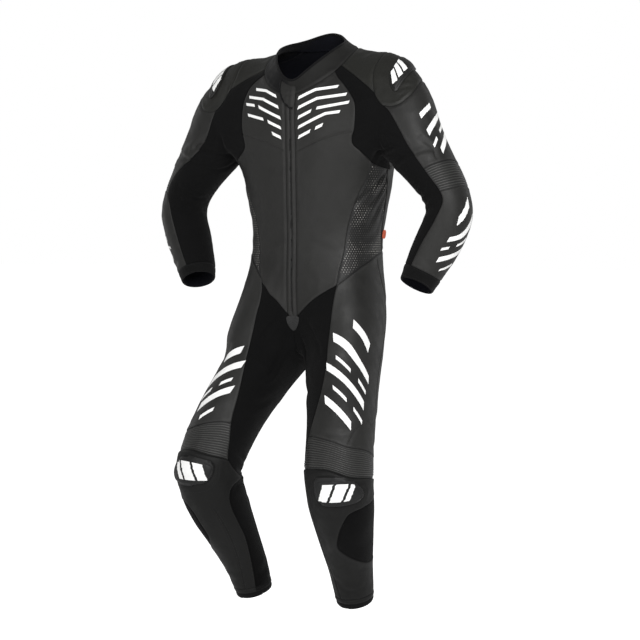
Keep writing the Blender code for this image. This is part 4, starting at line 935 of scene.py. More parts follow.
# ------------------------------------------------------------------ folds and relief
# creases: where the line runs, depth of its trough, width, height of the ridge beside it (+ left of the line)
# and how much of its length it takes to fade in.  "L", "R" or "LR" = on which side of the suit.
CREASES = [
    # armpit fans on the chest side
    ("LR", [("torso", -205, 66), ("torso", -232, 70), ("torso", -262, 74), ("torso", -292, 73)], 4.5, 7, 2.2),
    ("LR", [("torso", -214, 74), ("torso", -246, 79), ("torso", -276, 82)], 5.0, 7, 2.0),
    ("LR", [("arm", 58, 112), ("arm", 84, 128), ("arm", 104, 146)], 4.0, 8, 2.0),
    ("LR", [("arm", 48, 100), ("arm", 78, 113), ("arm", 108, 120), ("arm", 138, 121)], 2.2, 8, 1.2),
    ("LR", [("torso", -286, 94), ("torso", -320, 85), ("torso", -352, 73), ("torso", -382, 63)], 3.4, 6, 2.8),
    ("LR", [("torso", -300, 96), ("torso", -338, 89), ("torso", -376, 78), ("torso", -414, 66)], 3.2, 6, 2.6),
    ("LR", [("torso", -322, 98), ("torso", -362, 93), ("torso", -408, 84), ("torso", -446, 72)], 2.2, 7, 1.8),
    ("LR", [("torso", -350, 100), ("torso", -396, 97), ("torso", -440, 90)], 1.6, 8, 1.3),
    # side of the waist
    ("LR", [("torso", -430, 96), ("torso", -448, 84), ("torso", -462, 70)], 1.8, 9, 1.2),
    ("L", [("torso", -472, 98), ("torso", -486, 82), ("torso", -502, 68)], 2.2, 10, 1.4),
    ("R", [("torso", -455, 92), ("torso", -470, 74), ("torso", -480, 60)], 1.8, 10, 1.2),
    # front body, very soft
    ("LR", [("torso", -300, 34), ("torso", -345, 40), ("torso", -395, 43)], 1.0, 16, 0.8),
    ("L", [("torso", -452, 18), ("torso", -470, 34), ("torso", -492, 50)], 1.1, 13, 0.8),
    ("R", [("torso", -440, 14), ("torso", -455, 26), ("torso", -468, 38)], 1.0, 13, 0.8),
    ("L", [("torso", -520, 14), ("torso", -545, 24), ("torso", -566, 34)], 1.2, 12, 0.8),
    ("R", [("torso", -514, 9), ("torso", -540, 18), ("torso", -566, 24)], 1.2, 12, 0.8),
    # crotch and groin
    ("L", [("torso", -640, 12), ("torso", -662, 24), ("leg", -34, 92), ("leg", 2, 88)], 3.2, 8, 1.8),
    ("R", [("torso", -640, 10), ("torso", -664, 22), ("leg", -30, 96), ("leg", 6, 96)], 3.0, 8, 1.8),
    ("L", [("torso", -668, 3), ("leg", -8, 128), ("leg", 26, 120), ("leg", 58, 112)], 4.2, 9, 1.8),
    ("R", [("torso", -668, 3), ("leg", -6, 134), ("leg", 24, 128), ("leg", 56, 120)], 4.2, 9, 1.8),
    ("LR", [("leg", -2, 160), ("leg", 28, 146), ("leg", 62, 132), ("leg", 92, 120)], 2.8, 9, 1.4),
    ("LR", [("leg", 40, 178), ("leg", 66, 160), ("leg", 98, 146)], 2.2, 9, 1.2),
    # inner elbow
    ("L", [("arm", 232, 92), ("arm", 240, 118), ("arm", 242, 146), ("arm", 236, 172)], 3.8, 7, 2.0),
    ("R", [("arm", 236, 84), ("arm", 244, 112), ("arm", 244, 146), ("arm", 238, 174)], 3.6, 7, 2.0),
    ("LR", [("arm", 212, 100), ("arm", 220, 126), ("arm", 222, 156)], 2.8, 7, 1.6),
    ("LR", [("arm", 258, 96), ("arm", 264, 126), ("arm", 262, 160)], 3.0, 7, 1.6),
    ("LR", [("arm", 284, 108), ("arm", 290, 136), ("arm", 288, 164)], 1.8, 8, 1.2),
    ("LR", [("arm", 236, 178), ("arm", 228, -164), ("arm", 222, -148)], 2.6, 8, 1.4),
    ("LR", [("arm", 268, 174), ("arm", 276, -166), ("arm", 284, -150)], 2.0, 8, 1.2),
    # sleeve leather, hints of pull
    ("L", [("arm", 70, 42), ("arm", 112, 30), ("arm", 158, 24)], 1.1, 13, 0.9),
    ("R", [("arm", 76, 36), ("arm", 122, 24), ("arm", 168, 20)], 1.1, 13, 0.9),
    ("LR", [("arm", 196, 60), ("arm", 186, 30), ("arm", 190, -4)], 1.1, 9, 0.9),
    ("LR", [("arm", 304, 54), ("arm", 312, 22), ("arm", 308, -14)], 1.2, 9, 0.9),
    ("L", [("arm", 352, 74), ("arm", 366, 40), ("arm", 372, 8)], 1.0, 12, 0.8),
    ("R", [("arm", 398, 72), ("arm", 408, 40), ("arm", 412, 8)], 1.0, 12, 0.8),
    ("LR", [("arm", 440, 78), ("arm", 450, 40), ("arm", 448, -6)], 1.2, 8, 0.9),
    ("LR", [("arm", 92, -60), ("arm", 134, -74), ("arm", 176, -90)], 1.5, 12, 1.0),
    ("LR", [("arm", 148, -40), ("arm", 172, -66), ("arm", 190, -96)], 1.3, 10, 0.9),
    ("LR", [("arm", 318, -44), ("arm", 330, -80), ("arm", 328, -112)], 1.5, 10, 1.0),
    ("LR", [("arm", 388, -30), ("arm", 398, -66), ("arm", 404, -96)], 1.1, 11, 0.8),
    # thighs
    ("L", [("leg", -30, 60), ("leg", 0, 44), ("leg", 22, 20)], 1.6, 13, 1.1),
    ("R", [("leg", -26, 64), ("leg", 4, 50), ("leg", 30, 26)], 1.6, 13, 1.1),
    ("L", [("leg", 122, 70), ("leg", 150, 52), ("leg", 168, 30)], 1.1, 13, 0.8),
    ("R", [("leg", 96, 84), ("leg", 128, 70), ("leg", 152, 50)], 1.1, 13, 0.8),
    ("LR", [("leg", 186, 92), ("leg", 188, 60), ("leg", 182, 28)], 1.3, 8, 1.0),
    ("LR", [("leg", 60, -20), ("leg", 96, -36), ("leg", 132, -56)], 1.6, 14, 1.0),
    ("LR", [("leg", 150, -6), ("leg", 176, -34), ("leg", 190, -62)], 1.4, 10, 0.9),
    ("LR", [("torso", -600, 96), ("torso", -632, 110), ("leg", -20, -40)], 1.7, 14, 1.1),
    # seat and small of the back
    ("LR", [("torso", -640, 150), ("leg", -6, -112), ("leg", 14, -92)], 2.6, 11, 1.6),
    ("LR", [("torso", -606, 168), ("torso", -640, 156), ("torso", -668, 146)], 2.0, 12, 1.2),
    ("LR", [("leg", 46, -84), ("leg", 44, -112), ("leg", 40, -140)], 2.6, 9, 1.6),
    ("LR", [("leg", 74, -88), ("leg", 76, -112), ("leg", 72, -138)], 1.8, 10, 1.2),
    ("L", [("torso", -420, 172), ("torso", -432, 150), ("torso", -446, 126)], 2.4, 12, 1.6),
    ("R", [("torso", -414, 168), ("torso", -430, 146), ("torso", -440, 122)], 2.4, 12, 1.6),
    ("L", [("torso", -448, -176), ("torso", -452, 160), ("torso", -462, 132)], 2.0, 11, 1.4),
    ("R", [("torso", -444, 174), ("torso", -456, 154), ("torso", -464, 130)], 2.0, 11, 1.4),
    ("LR", [("torso", -490, 176), ("torso", -498, 156), ("torso", -512, 134)], 1.6, 12, 1.1),
    ("LR", [("torso", -236, 120), ("torso", -270, 132), ("torso", -312, 140)], 2.4, 13, 1.5),
    ("LR", [("torso", -205, 138), ("torso", -250, 146), ("torso", -300, 154)], 1.5, 15, 1.0),
    ("L", [("torso", -120, 150), ("torso", -150, 166), ("torso", -170, -178)], 1.2, 15, 0.9),
    ("R", [("torso", -130, 148), ("torso", -158, 162), ("torso", -176, 176)], 1.2, 15, 0.9),
    # back of the knees, calves
    ("LR", [("leg", 232, -120), ("leg", 242, -150), ("leg", 244, 176), ("leg", 238, 158)], 4.2, 8, 2.2),
    ("LR", [("leg", 206, -126), ("leg", 214, -154), ("leg", 214, 176), ("leg", 206, 156)], 3.0, 8, 1.7),
    ("LR", [("leg", 262, -130), ("leg", 276, -156), ("leg", 282, 178)], 3.0, 8, 1.7),
    ("LR", [("leg", 300, 160), ("leg", 310, 178), ("leg", 316, -160)], 2.0, 9, 1.2),
    ("LR", [("leg", 420, -100), ("leg", 452, -120), ("leg", 486, -136)], 1.6, 13, 1.0),
    ("LR", [("leg", 350, -110), ("leg", 372, -136), ("leg", 384, -164)], 1.7, 12, 1.1),
    # shins and ankles
    ("LR", [("leg", 330, 112), ("leg", 372, 104), ("leg", 420, 100)], 1.1, 14, 0.8),
    ("L", [("leg", 552, 96), ("leg", 560, 60), ("leg", 556, 20)], 1.3, 9, 1.0),
    ("R", [("leg", 546, 112), ("leg", 556, 76), ("leg", 554, 30)], 1.3, 9, 1.0),
    ("LR", [("leg", 520, 130), ("leg", 530, 100), ("leg", 534, 72)], 1.0, 10, 0.8),
    ("LR", [("leg", 548, -150), ("leg", 556, 178), ("leg", 560, 140)], 1.6, 9, 1.1),
    # yoke and cup, slight
    ("LR", [("top", -46, 128), ("top", -10, 150), ("top", 24, 160)], 1.1, 12, 0.8),
]
# sewn lines that run inside a panel: (where, along, left, right)
INNER_SEAMS = {
    "chest_v": ("LR", [("torso", -247, 7.5, 7.5), ("torso", -240, 14, 14), ("torso", -226, 28, 27), ("torso", -214, 40, 39),
                       ("torso", -205, 51, 49), ("torso", -203, 56, 52)]),
    "thigh_line": ("LR", [("leg", 138, 2, 2), ("leg", 160, 22, 22), ("leg", 184, 35, 33), ("leg", 203, 40, 38), ("leg", 214, 43, 40)]),
    "sleeve_line": ("LR", [("arm", 40, -60, -60), ("arm", 90, -58, -58), ("arm", 150, -52, -52), ("arm", 222, -46, -46)]),
    "forearm_line": ("LR", [("arm", 296, -48, -48), ("arm", 350, -44, -44), ("arm", 410, -40, -40), ("arm", 466, -38, -38)]),
    "hip_line": ("LR", [("torso", -500, 92, 92), ("torso", -560, 96, 96), ("torso", -620, 100, 100), ("leg", 0, -22, -22),
                        ("leg", 60, -24, -24), ("leg", 120, -20, -20), ("leg", 142, -4, -4)]),
    "shin_line": ("LR", [("leg", 324, 118, 118), ("leg", 380, 121, 121), ("leg", 450, 118, 118), ("leg", 520, 108, 108),
                         ("leg", 588, 100, 100)]),
    "back_middle": ("L", [("torso", -34, 180), ("torso", -100, 180), ("torso", -200, 180), ("torso", -330, 180), ("torso", -466, 180)]),
    "back_yoke": ("LR", [("torso", -150, 179, 179), ("torso", -150, 164, 164), ("torso", -142, 148, 148), ("torso", -128, 134, 134),
                         ("torso", -120, 126, 126)]),
    "seat_middle": ("L", [("torso", -476, 180), ("torso", -560, 180), ("torso", -640, 180), ("torso", -690, 180)]),
}
# fold where the knee leather swells out under the ribs
KNEE_FOLD = 3.4


def crease_line(form, rows, tag):
    P = [form.at(w, a, b, tag) for w, a, b in rows]
    n = len(P)
    out = []
    for i in range(n - 1):
        a, b, c, d = P[max(i - 1, 0)], P[i], P[i + 1], P[min(i + 2, n - 1)]
        k = max(2, int(np.linalg.norm(c - b) / 6))
        for j in range(k):
            t = j / k
            out.append(0.5 * (2 * b + (c - a) * t + (2 * a - 5 * b + 4 * c - d) * t * t + (3 * b - a - 3 * c + d) * t ** 3))
    out.append(P[-1])
    return np.array([form.nearest(p) for p in out])


def crease_field(V, N, form, rng):
    """Sum of all the listed creases on each vertex, in mm."""
    out = np.zeros(len(V))
    for sides, rows, depth, width, ridge in CREASES:
        for tag in ("_l", "_r"):
            if tag[1].upper() not in sides:
                continue
            f = rng.uniform(0.82, 1.18, 3)
            shift = rng.uniform(-3.5, 3.5, len(rows))
            turn = rng.uniform(-1.6, 1.6, len(rows))
            use = [(w, a + s, b + t if w != "top" else b) for (w, a, b), s, t in zip(rows, shift, turn)]
            line = crease_line(form, use, tag)
            step = np.linalg.norm(np.diff(line, axis=0), axis=1)
            at = np.concatenate([[0], np.cumsum(step)])
            w, dep, rid = width * f[0], depth * f[1], ridge * f[2]
            reach = 3.4 * w
            ids = np.flatnonzero(((V > line.min(0) - reach) & (V < line.max(0) + reach)).all(1))
            k, t, q, r = nearest_on(V[ids], line)
            facing = np.array([form.normal(p) for p in line])
            ok = (r < reach) & ((N[ids] * facing[k]).sum(1) > 0.2)
            ids, k, t, q, r = ids[ok], k[ok], t[ok], q[ok], r[ok]
            T = np.diff(line, axis=0)[k]
            T /= np.linalg.norm(T, axis=1)[:, None]
            s = (np.cross(N[ids], T) * (V[ids] - q)).sum(1)
            u = (at[k] + t * step[k]) / at[-1]
            env = np.sin(np.pi * np.clip(u, 0, 1)) ** 0.8 * (1 + 0.25 * np.sin(u * 9 + f[0] * 20))
            over = np.maximum(0, np.where(u <= 0, 1, 0) + np.where(u >= 1, 1, 0))
            env = np.where(over > 0, 0, env)
            x = s / w
            soft = np.exp(-np.abs(x) ** 1.6)
            out[ids] += env * (-dep * soft + rid * (np.exp(-((x - 1.5) / 0.9) ** 2) + 0.45 * np.exp(-((x + 1.7) / 1.0) ** 2)))
    return out


def waves(P, rng, count, low, high):
    """Smooth unevenness, about -1 to 1; wavelengths low to high in mm."""
    out = np.zeros(len(P))
    for _ in range(count):
        d = rng.normal(size=3)
        d *= 2 * math.pi / (np.linalg.norm(d) * rng.uniform(low, high))
        out += np.sin(P @ d + rng.uniform(0, 6.3))
    return out / math.sqrt(count)


ON_TOP = {"leather": 3, "collar": 3, "side": 2, "rib": 1, "cuff": 2.5, "stretch": 0}


def seam_relief(own, other, D):
    """Relief of one piece near its border: own and neighbour's kind, distance to the border."""
    if other is None:                                   # a free edge, turned in
        return -1.0 * np.exp(-(D / 1.6) ** 2)
    a, b = ON_TOP[own], ON_TOP[other]
    if own == "cuff" or other == "cuff":
        return (-1.1 * np.exp(-(D / 1.8) ** 2) + (0.7 * np.exp(-((D - 8) / 5.5) ** 2) if own == "cuff" else 0))
    if a == b:
        return -1.5 * np.exp(-(D / 1.9) ** 2) + 0.55 * np.exp(-((D - 6.5) / 3.6) ** 2) - 0.5 * np.exp(-((D - 2.9) / 0.8) ** 2)
    if a > b:
        return (0.7 * np.exp(-((D - 2.0) / 7.0) ** 2) - 1.0 * np.exp(-(D / 1.2) ** 2)) * (1 if own != "side" else 0.6)
    return -1.1 * np.exp(-(D / 3.4) ** 2)


# ------------------------------------------------------------------ the shells
def compress(skin):
    return {"F": skin.F.copy(), "n": skin.n.copy(), "name": skin.data["name"].copy()}


def faces_of(F, n, ids):
    return [F[i, :n[i]].tolist() for i in ids]


def directed(F, n, ids):
    rows = []
    for k in range(F.shape[1]):
        i = ids[n[ids] > k]
        if len(i):
            rows.append(np.stack([F[i, k], F[i, (k + 1) % n[i]]], 1))
    return np.concatenate(rows)


def border_of(E, top):
    key = E[:, 0] * top + E[:, 1]
    back = E[:, 1] * top + E[:, 0]
    return E[~np.isin(key, back)]


def border_inset(V, N, border, amount):
    """How far each border vertex moves inward along the surface."""
    nxt, prev = {}, {}
    for a, b in border.tolist():
        nxt.setdefault(a, []).append(b)
        prev.setdefault(b, []).append(a)
    move = {}
    for a in nxt:
        if len(nxt[a]) != 1 or len(prev.get(a, [])) != 1:
            move[a] = np.zeros(3)
            continue
        b, c = nxt[a][0], prev[a][0]
        m1 = np.cross(N[a], V[b] - V[a])
        m2 = np.cross(N[a], V[a] - V[c])
        m1 /= max(np.linalg.norm(m1), 1e-9)
        m2 /= max(np.linalg.norm(m2), 1e-9)
        m = m1 + m2
        k = np.linalg.norm(m)
        if k < 0.3:
            move[a] = m1 * amount
        else:
            m = m / k
            move[a] = m * (amount / max(m @ m1, 0.5))
    return move


def shell_object(name, outer, inner, border, P, Q, D, uv, mats, rib):
    """Closed shell: outer faces on P, inner faces on Q, joined round the shared border."""
    iu = sorted({i for f in outer for i in f})
    ju = sorted({i for f in inner for i in f})
    a = {i: k for k, i in enumerate(iu)}
    b = {i: k + len(iu) for k, i in enumerate(ju)}
    pts = np.concatenate([P[iu], Q[ju]]) * 0.001
    faces = [[a[i] for i in f] for f in outer]
    no = len(faces)
    faces += [[b[i] for i in reversed(f)] for f in inner]
    ni = len(faces)
    for p, q in border.tolist():
        faces.append([a[q], a[p], b[p], b[q]])
    mesh = bpy.data.meshes.new(name)
    mesh.from_pydata(pts.tolist(), [], faces)
    mesh.polygons.foreach_set("use_smooth", np.ones(len(faces), bool))
    index = np.zeros(len(faces), np.int32)
    index[no:ni] = 1
    mesh.polygons.foreach_set("material_index", index)
    for m in mats:
        mesh.materials.append(m)
    # crisp rim
    ev = np.zeros(len(mesh.edges) * 2, np.int32)
    mesh.edges.foreach_get("vertices", ev)
    ev = np.sort(ev.reshape(-1, 2), 1).astype(np.int64)
    big = len(pts) + 1
    rim = set()
    bb = border
    ka = np.sort(np.stack([[a[x] for x in bb[:, 0]], [a[x] for x in bb[:, 1]]], 1), 1)
    kb = np.sort(np.stack([[b[x] for x in bb[:, 0]], [b[x] for x in bb[:, 1]]], 1), 1)
    keys = np.concatenate([ka[:, 0] * big + ka[:, 1], kb[:, 0] * big + kb[:, 1]])
    mesh.edges.foreach_set("use_edge_sharp", np.isin(ev[:, 0] * big + ev[:, 1], keys))
    # garment coordinates in metres, and distance to the nearest seam
    corner = np.zeros(len(mesh.loops), np.int32)
    mesh.loops.foreach_get("vertex_index", corner)
    both = np.concatenate([uv[iu], uv[ju]]) * 0.001
    layer = mesh.uv_layers.new(name="cut")
    flat = both[corner]
    start = np.zeros(len(faces), np.int32)
    mesh.polygons.foreach_get("loop_start", start)
    high = np.maximum.reduceat(flat[:, 0], start)
    low = np.minimum.reduceat(flat[:, 0], start)
    total = np.diff(np.append(start, len(flat)))
    wide = np.repeat(high - low > 0.12, total)
    turn = 360 * (0.00105 if "cuff" in name else 0.00135)
    flat[:, 0] += np.where(wide & (flat[:, 0] < 0), turn, 0.0)
    layer.data.foreach_set("uv", flat.astype(np.float32).ravel())
    att = mesh.attributes.new("edge", "FLOAT", "POINT")
    att.data.foreach_set("value", np.concatenate([D[iu], D[ju]]).astype(np.float32))
    if "rib" in name:
        att = mesh.attributes.new("rib", "FLOAT", "POINT")
        att.data.foreach_set("value", np.concatenate([rib[iu], rib[ju]]).astype(np.float32))
    mesh.update()
    obj = bpy.data.objects.new(name, mesh)
    bpy.context.scene.collection.objects.link(obj)
    return obj


def axis_values(form, limb, P):
    """Measures along and round a limb for each point: mm, degrees."""
    line, side = form.axis[limb]
    k, t, q, r = nearest_on(P, line)
    step = np.linalg.norm(np.diff(line, axis=0), axis=1)
    at = np.concatenate([[0], np.cumsum(step)])
    frames = [axes_across(d, side) for d in np.diff(line, axis=0)]
    U = np.array([f[0] for f in frames])[k]
    W = np.array([f[1] for f in frames])[k]
    d = P - q
    return at[k] + t * step[k], np.degrees(np.arctan2((d * W).sum(1), (d * U).sum(1)))


def cut_coordinates(form, name, P):
    """Flat coordinates of a piece in mm: across, along."""
    s, tag = stem(name), name[-2:]
    if s in ("front", "side", "yoke", "back", "seat", "zip", "collar"):
        th = np.degrees(np.arctan2(P[:, 0], -(P[:, 1] - BODY_CENTRE_Y)))
        if s in ("back", "seat"):
            th = np.where(th < 0, th + 360, th)
        if s == "yoke":
            return np.stack([P[:, 0] * 1.1, P[:, 1]], 1)
        return np.stack([th * 2.6, P[:, 2]], 1)
    limb = ("arm" if s in ("stretch", "cup", "sleeve", "elbow_rib", "forearm", "cuff") else "leg") + tag
    along, angle = axis_values(form, limb, P)
    mid = math.degrees(math.atan2(np.sin(np.radians(angle)).mean(), np.cos(np.radians(angle)).mean()))
    angle = (angle - mid + 180) % 360 - 180
    k = 1.05 if limb.startswith("arm") else 1.35
    return np.stack([angle * k, along], 1)


# ------------------------------------------------------------------ materials
class Nodes:
    """Small helper round one material's node tree."""

    def __init__(self, name, colour, rough):
        self.mat = bpy.data.materials.new(name)
        self.mat.use_nodes = True
        self.mat.diffuse_color = (*colour, 1)
        self.tree = self.mat.node_tree
        self.shader = next(n for n in self.tree.nodes if n.type == "BSDF_PRINCIPLED")
        self.shader.inputs["Base Color"].default_value = (*colour, 1)
        self.shader.inputs["Roughness"].default_value = rough
        self.coord = None
        self.place = self.node("ShaderNodeTexCoord").outputs["Object"]

    def node(self, kind, **values):
        n = self.tree.nodes.new(kind)
        for k, v in values.items():
            setattr(n, k, v)
        return n

    def link(self, a, b):
        self.tree.links.new(a, b)

    def value(self, v, socket):
        if isinstance(v, (int, float)):
            socket.default_value = v
        else:
            self.link(v, socket)

    def math(self, op, a, b=0.0, clamp=False):
        n = self.node("ShaderNodeMath", operation=op, use_clamp=clamp)
        self.value(a, n.inputs[0])
        self.value(b, n.inputs[1])
        return n.outputs[0]

    def ramp(self, v, low, high, to_low=0.0, to_high=1.0, smooth=True):
        n = self.node("ShaderNodeMapRange", interpolation_type="SMOOTHSTEP" if smooth else "LINEAR")
        self.value(v, n.inputs["Value"])
        for key, x in (("From Min", low), ("From Max", high), ("To Min", to_low), ("To Max", to_high)):
            n.inputs[key].default_value = x
        return n.outputs["Result"]

    def noise(self, scale, detail=2.0, rough=0.5, vector=None, warp=0.0):
        n = self.node("ShaderNodeTexNoise")
        self.link(vector or self.place, n.inputs["Vector"])
        n.inputs["Scale"].default_value = scale
        n.inputs["Detail"].default_value = detail
        n.inputs["Roughness"].default_value = rough
        n.inputs["Distortion"].default_value = warp
        return n.outputs["Fac"]

    def cells(self, scale, feature="F1", vector=None, random=1.0):
        n = self.node("ShaderNodeTexVoronoi", feature=feature)
        self.link(vector or self.place, n.inputs["Vector"])
        n.inputs["Scale"].default_value = scale
        n.inputs["Randomness"].default_value = random
        return n.outputs["Distance"]

    def uv(self, scale=(1, 1, 1), turn=0.0):
        n = self.node("ShaderNodeUVMap", uv_map="cut")
        m = self.node("ShaderNodeMapping")
        m.inputs["Scale"].default_value = scale
        m.inputs["Rotation"].default_value = (0, 0, turn)
        self.link(n.outputs["UV"], m.inputs["Vector"])
        return m.outputs["Vector"]

    def stretched(self, scale):
        m = self.node("ShaderNodeMapping")
        m.inputs["Scale"].default_value = scale
        self.link(self.place, m.inputs["Vector"])
        return m.outputs["Vector"]

    def edge(self):
        return self.node("ShaderNodeAttribute", attribute_name="edge").outputs["Fac"]

    def mix(self, f, a, b):
        n = self.node("ShaderNodeMix", data_type="RGBA")
        self.value(f, n.inputs[0])
        for s, c in ((n.inputs[6], a), (n.inputs[7], b)):
            if isinstance(c, tuple):
                s.default_value = (*c, 1)
            else:
                self.link(c, s)
        return n.outputs[2]

    def colour(self, c):
        self.link(c, self.shader.inputs["Base Color"])

    def rough(self, r):
        self.link(r, self.shader.inputs["Roughness"])

    def bump(self, height, distance, strength=1.0, after=None):
        n = self.node("ShaderNodeBump")
        n.inputs["Strength"].default_value = strength
        n.inputs["Distance"].default_value = distance
        self.link(height, n.inputs["Height"])
        if after is not None:
            self.link(after, n.inputs["Normal"])
        self.last = n.outputs["Normal"]
        self.link(self.last, self.shader.inputs["Normal"])
        return self.last

    def set(self, **values):
        for k, v in values.items():
            s = self.shader.inputs[k.replace("_", " ")]
            s.default_value = v


def rib_material(name, colour):
    """Leather stitched over elastic in narrow ribs: painted shade in the valleys, painted highlight on the crests, and
    the crests rubbed smoother.
    """
    m = Nodes(name, colour, 0.5)
    rib = m.node("ShaderNodeAttribute", attribute_name="rib").outputs["Fac"]
    mid = m.noise(46.0, 4.0, 0.6, warp=0.4)
    pebble = m.cells(820.0, "SMOOTH_F1")
    e = m.edge()
    # painted shade in the rib valleys and painted highlight on the rib crests, set by rib height
    tone = m.mix(m.ramp(rib, 0.15, 0.85), scaled(colour, 0.16), scaled(colour, 1.3))
    # painted highlight on the very tops of the crests, patchy by noise
    tone = m.mix(m.math("MULTIPLY", m.ramp(rib, 0.84, 0.98), m.ramp(mid, 0.35, 0.65, 0.45, 1.0)), tone, scaled(colour, 3.8))
    tone = m.mix(m.ramp(mid, 0.35, 0.72, 0.0, 0.3), tone, scaled(colour, 0.8))
    # painted shade: darker within 1.5 mm of a seam
    tone = m.mix(m.ramp(e, 0.0, 1.5, 0.7, 0.0), tone, scaled(colour, 0.3))
    m.colour(tone)
    m.rough(m.ramp(rib, 0.2, 0.9, 0.62, 0.44))
    m.bump(pebble, 0.0004, 0.25)
    m.set(Specular_IOR_Level=0.4)
    return m.mat


def scaled(c, k):
    return tuple(x * k for x in c)


def leather_material(name, colour, rough, grain=1.0, variety=1.0, spec=0.42, far=None):
    """Full-grain cowhide: pebbled grain, fine pull wrinkles, painted shade in the seams and a little worn beside them.
    """
    m = Nodes(name, colour, rough)
    broad = m.noise(7.0, 3.0, 0.55)
    mid = m.noise(38.0, 4.0, 0.6, warp=0.4)
    pebble = m.cells(760.0, "SMOOTH_F1")
    fine = m.noise(2100.0, 2.0, 0.6)
    pull = m.noise(150.0, 3.0, 0.6, m.stretched((1.0, 1.0, 0.35)), 0.8)
    e = m.edge()
    tone = m.mix(m.ramp(broad, 0.3, 0.7, 0.0, 1.0), scaled(colour, 1 - 0.14 * variety), scaled(colour, 1 + 0.16 * variety))
    tone = m.mix(m.ramp(mid, 0.35, 0.72, 0.0, 0.35 * variety), tone, scaled(colour, 1.35))
    tone = m.mix(m.ramp(pebble, 0.1, 0.6, 0.0, 0.22), tone, scaled(colour, 0.72))
    worn = m.math("MULTIPLY", m.ramp(e, 1.2, 3.2), m.ramp(e, 4.0, 9.0, 1.0, 0.0))
    worn = m.math("MULTIPLY", worn, m.ramp(mid, 0.42, 0.66))
    tone = m.mix(m.math("MULTIPLY", worn, 0.35 * variety), tone, scaled(colour, 1.9))
    # painted shade: darker within 1.5 mm of a seam
    tone = m.mix(m.ramp(e, 0.0, 1.5, 0.75, 0.0), tone, scaled(colour, 0.25))
    if far is not None:         # the wearer's right half of the band is painted near-black as painted shade
        x = m.node("ShaderNodeSeparateXYZ")
        m.link(m.place, x.inputs[0])
        tone = m.mix(m.ramp(x.outputs["X"], -0.012, -0.004), far, tone)
    m.colour(tone)
    r = m.math("ADD", m.ramp(mid, 0.3, 0.7, rough - 0.06, rough + 0.07), m.ramp(pebble, 0.1, 0.6, -0.02, 0.05))
    m.rough(m.math("ADD", r, m.math("MULTIPLY", worn, -0.06)))
    first = m.bump(pull, 0.0009, 0.16 * grain)
    second = m.bump(pebble, 0.0005, 0.28 * grain, first)
    m.bump(fine, 0.0002, 0.22 * grain, second)
    m.set(Specular_IOR_Level=spec)
    return m.mat


def stretch_material(name, colour):
    """Heavy matte stretch weave, ribbed finely across, a little dusty in patches."""
    m = Nodes(name, colour, 0.86)
    uv = m.uv((1, 1, 1), 0.0)
    def wave(direction, pitch, warp=0.0):
        w = m.node("ShaderNodeTexWave", wave_type="BANDS", bands_direction=direction, wave_profile="SIN")
        m.link(uv, w.inputs["Vector"])
        w.inputs["Scale"].default_value = 0.314 / pitch      # one band a pitch, in metres
        w.inputs["Distortion"].default_value = warp
        w.inputs["Detail"].default_value = 1.0
        return w.outputs["Fac"]
    warp = wave("X", 0.0011, 0.3)
    weft = wave("Y", 0.0016, 0.3)
    weave = m.math("MAXIMUM", m.math("MULTIPLY", warp, 0.85), weft)
    fuzz = m.noise(1500.0, 3.0, 0.7)
    broad = m.noise(16.0, 3.0, 0.6)
    e = m.edge()
    tone = m.mix(m.ramp(weave, 0.2, 0.9), scaled(colour, 0.62), scaled(colour, 1.25))
    tone = m.mix(m.ramp(fuzz, 0.45, 0.8, 0.0, 0.4), tone, scaled(colour, 1.9))
    tone = m.mix(m.ramp(broad, 0.35, 0.7, 0.0, 0.35), tone, scaled(colour, 1.5))
    # painted shade: darker within 2.5 mm of a seam
    tone = m.mix(m.ramp(e, 0.0, 2.5, 0.7, 0.0), tone, scaled(colour, 0.35))
    m.colour(tone)
    m.rough(m.ramp(fuzz, 0.3, 0.7, 0.80, 0.94))
    first = m.bump(weave, 0.0005, 0.55)
    m.bump(fuzz, 0.0002, 0.4, first)
    m.set(Specular_IOR_Level=0.08, Sheen_Weight=0.03, Sheen_Roughness=0.45)
    return m.mat


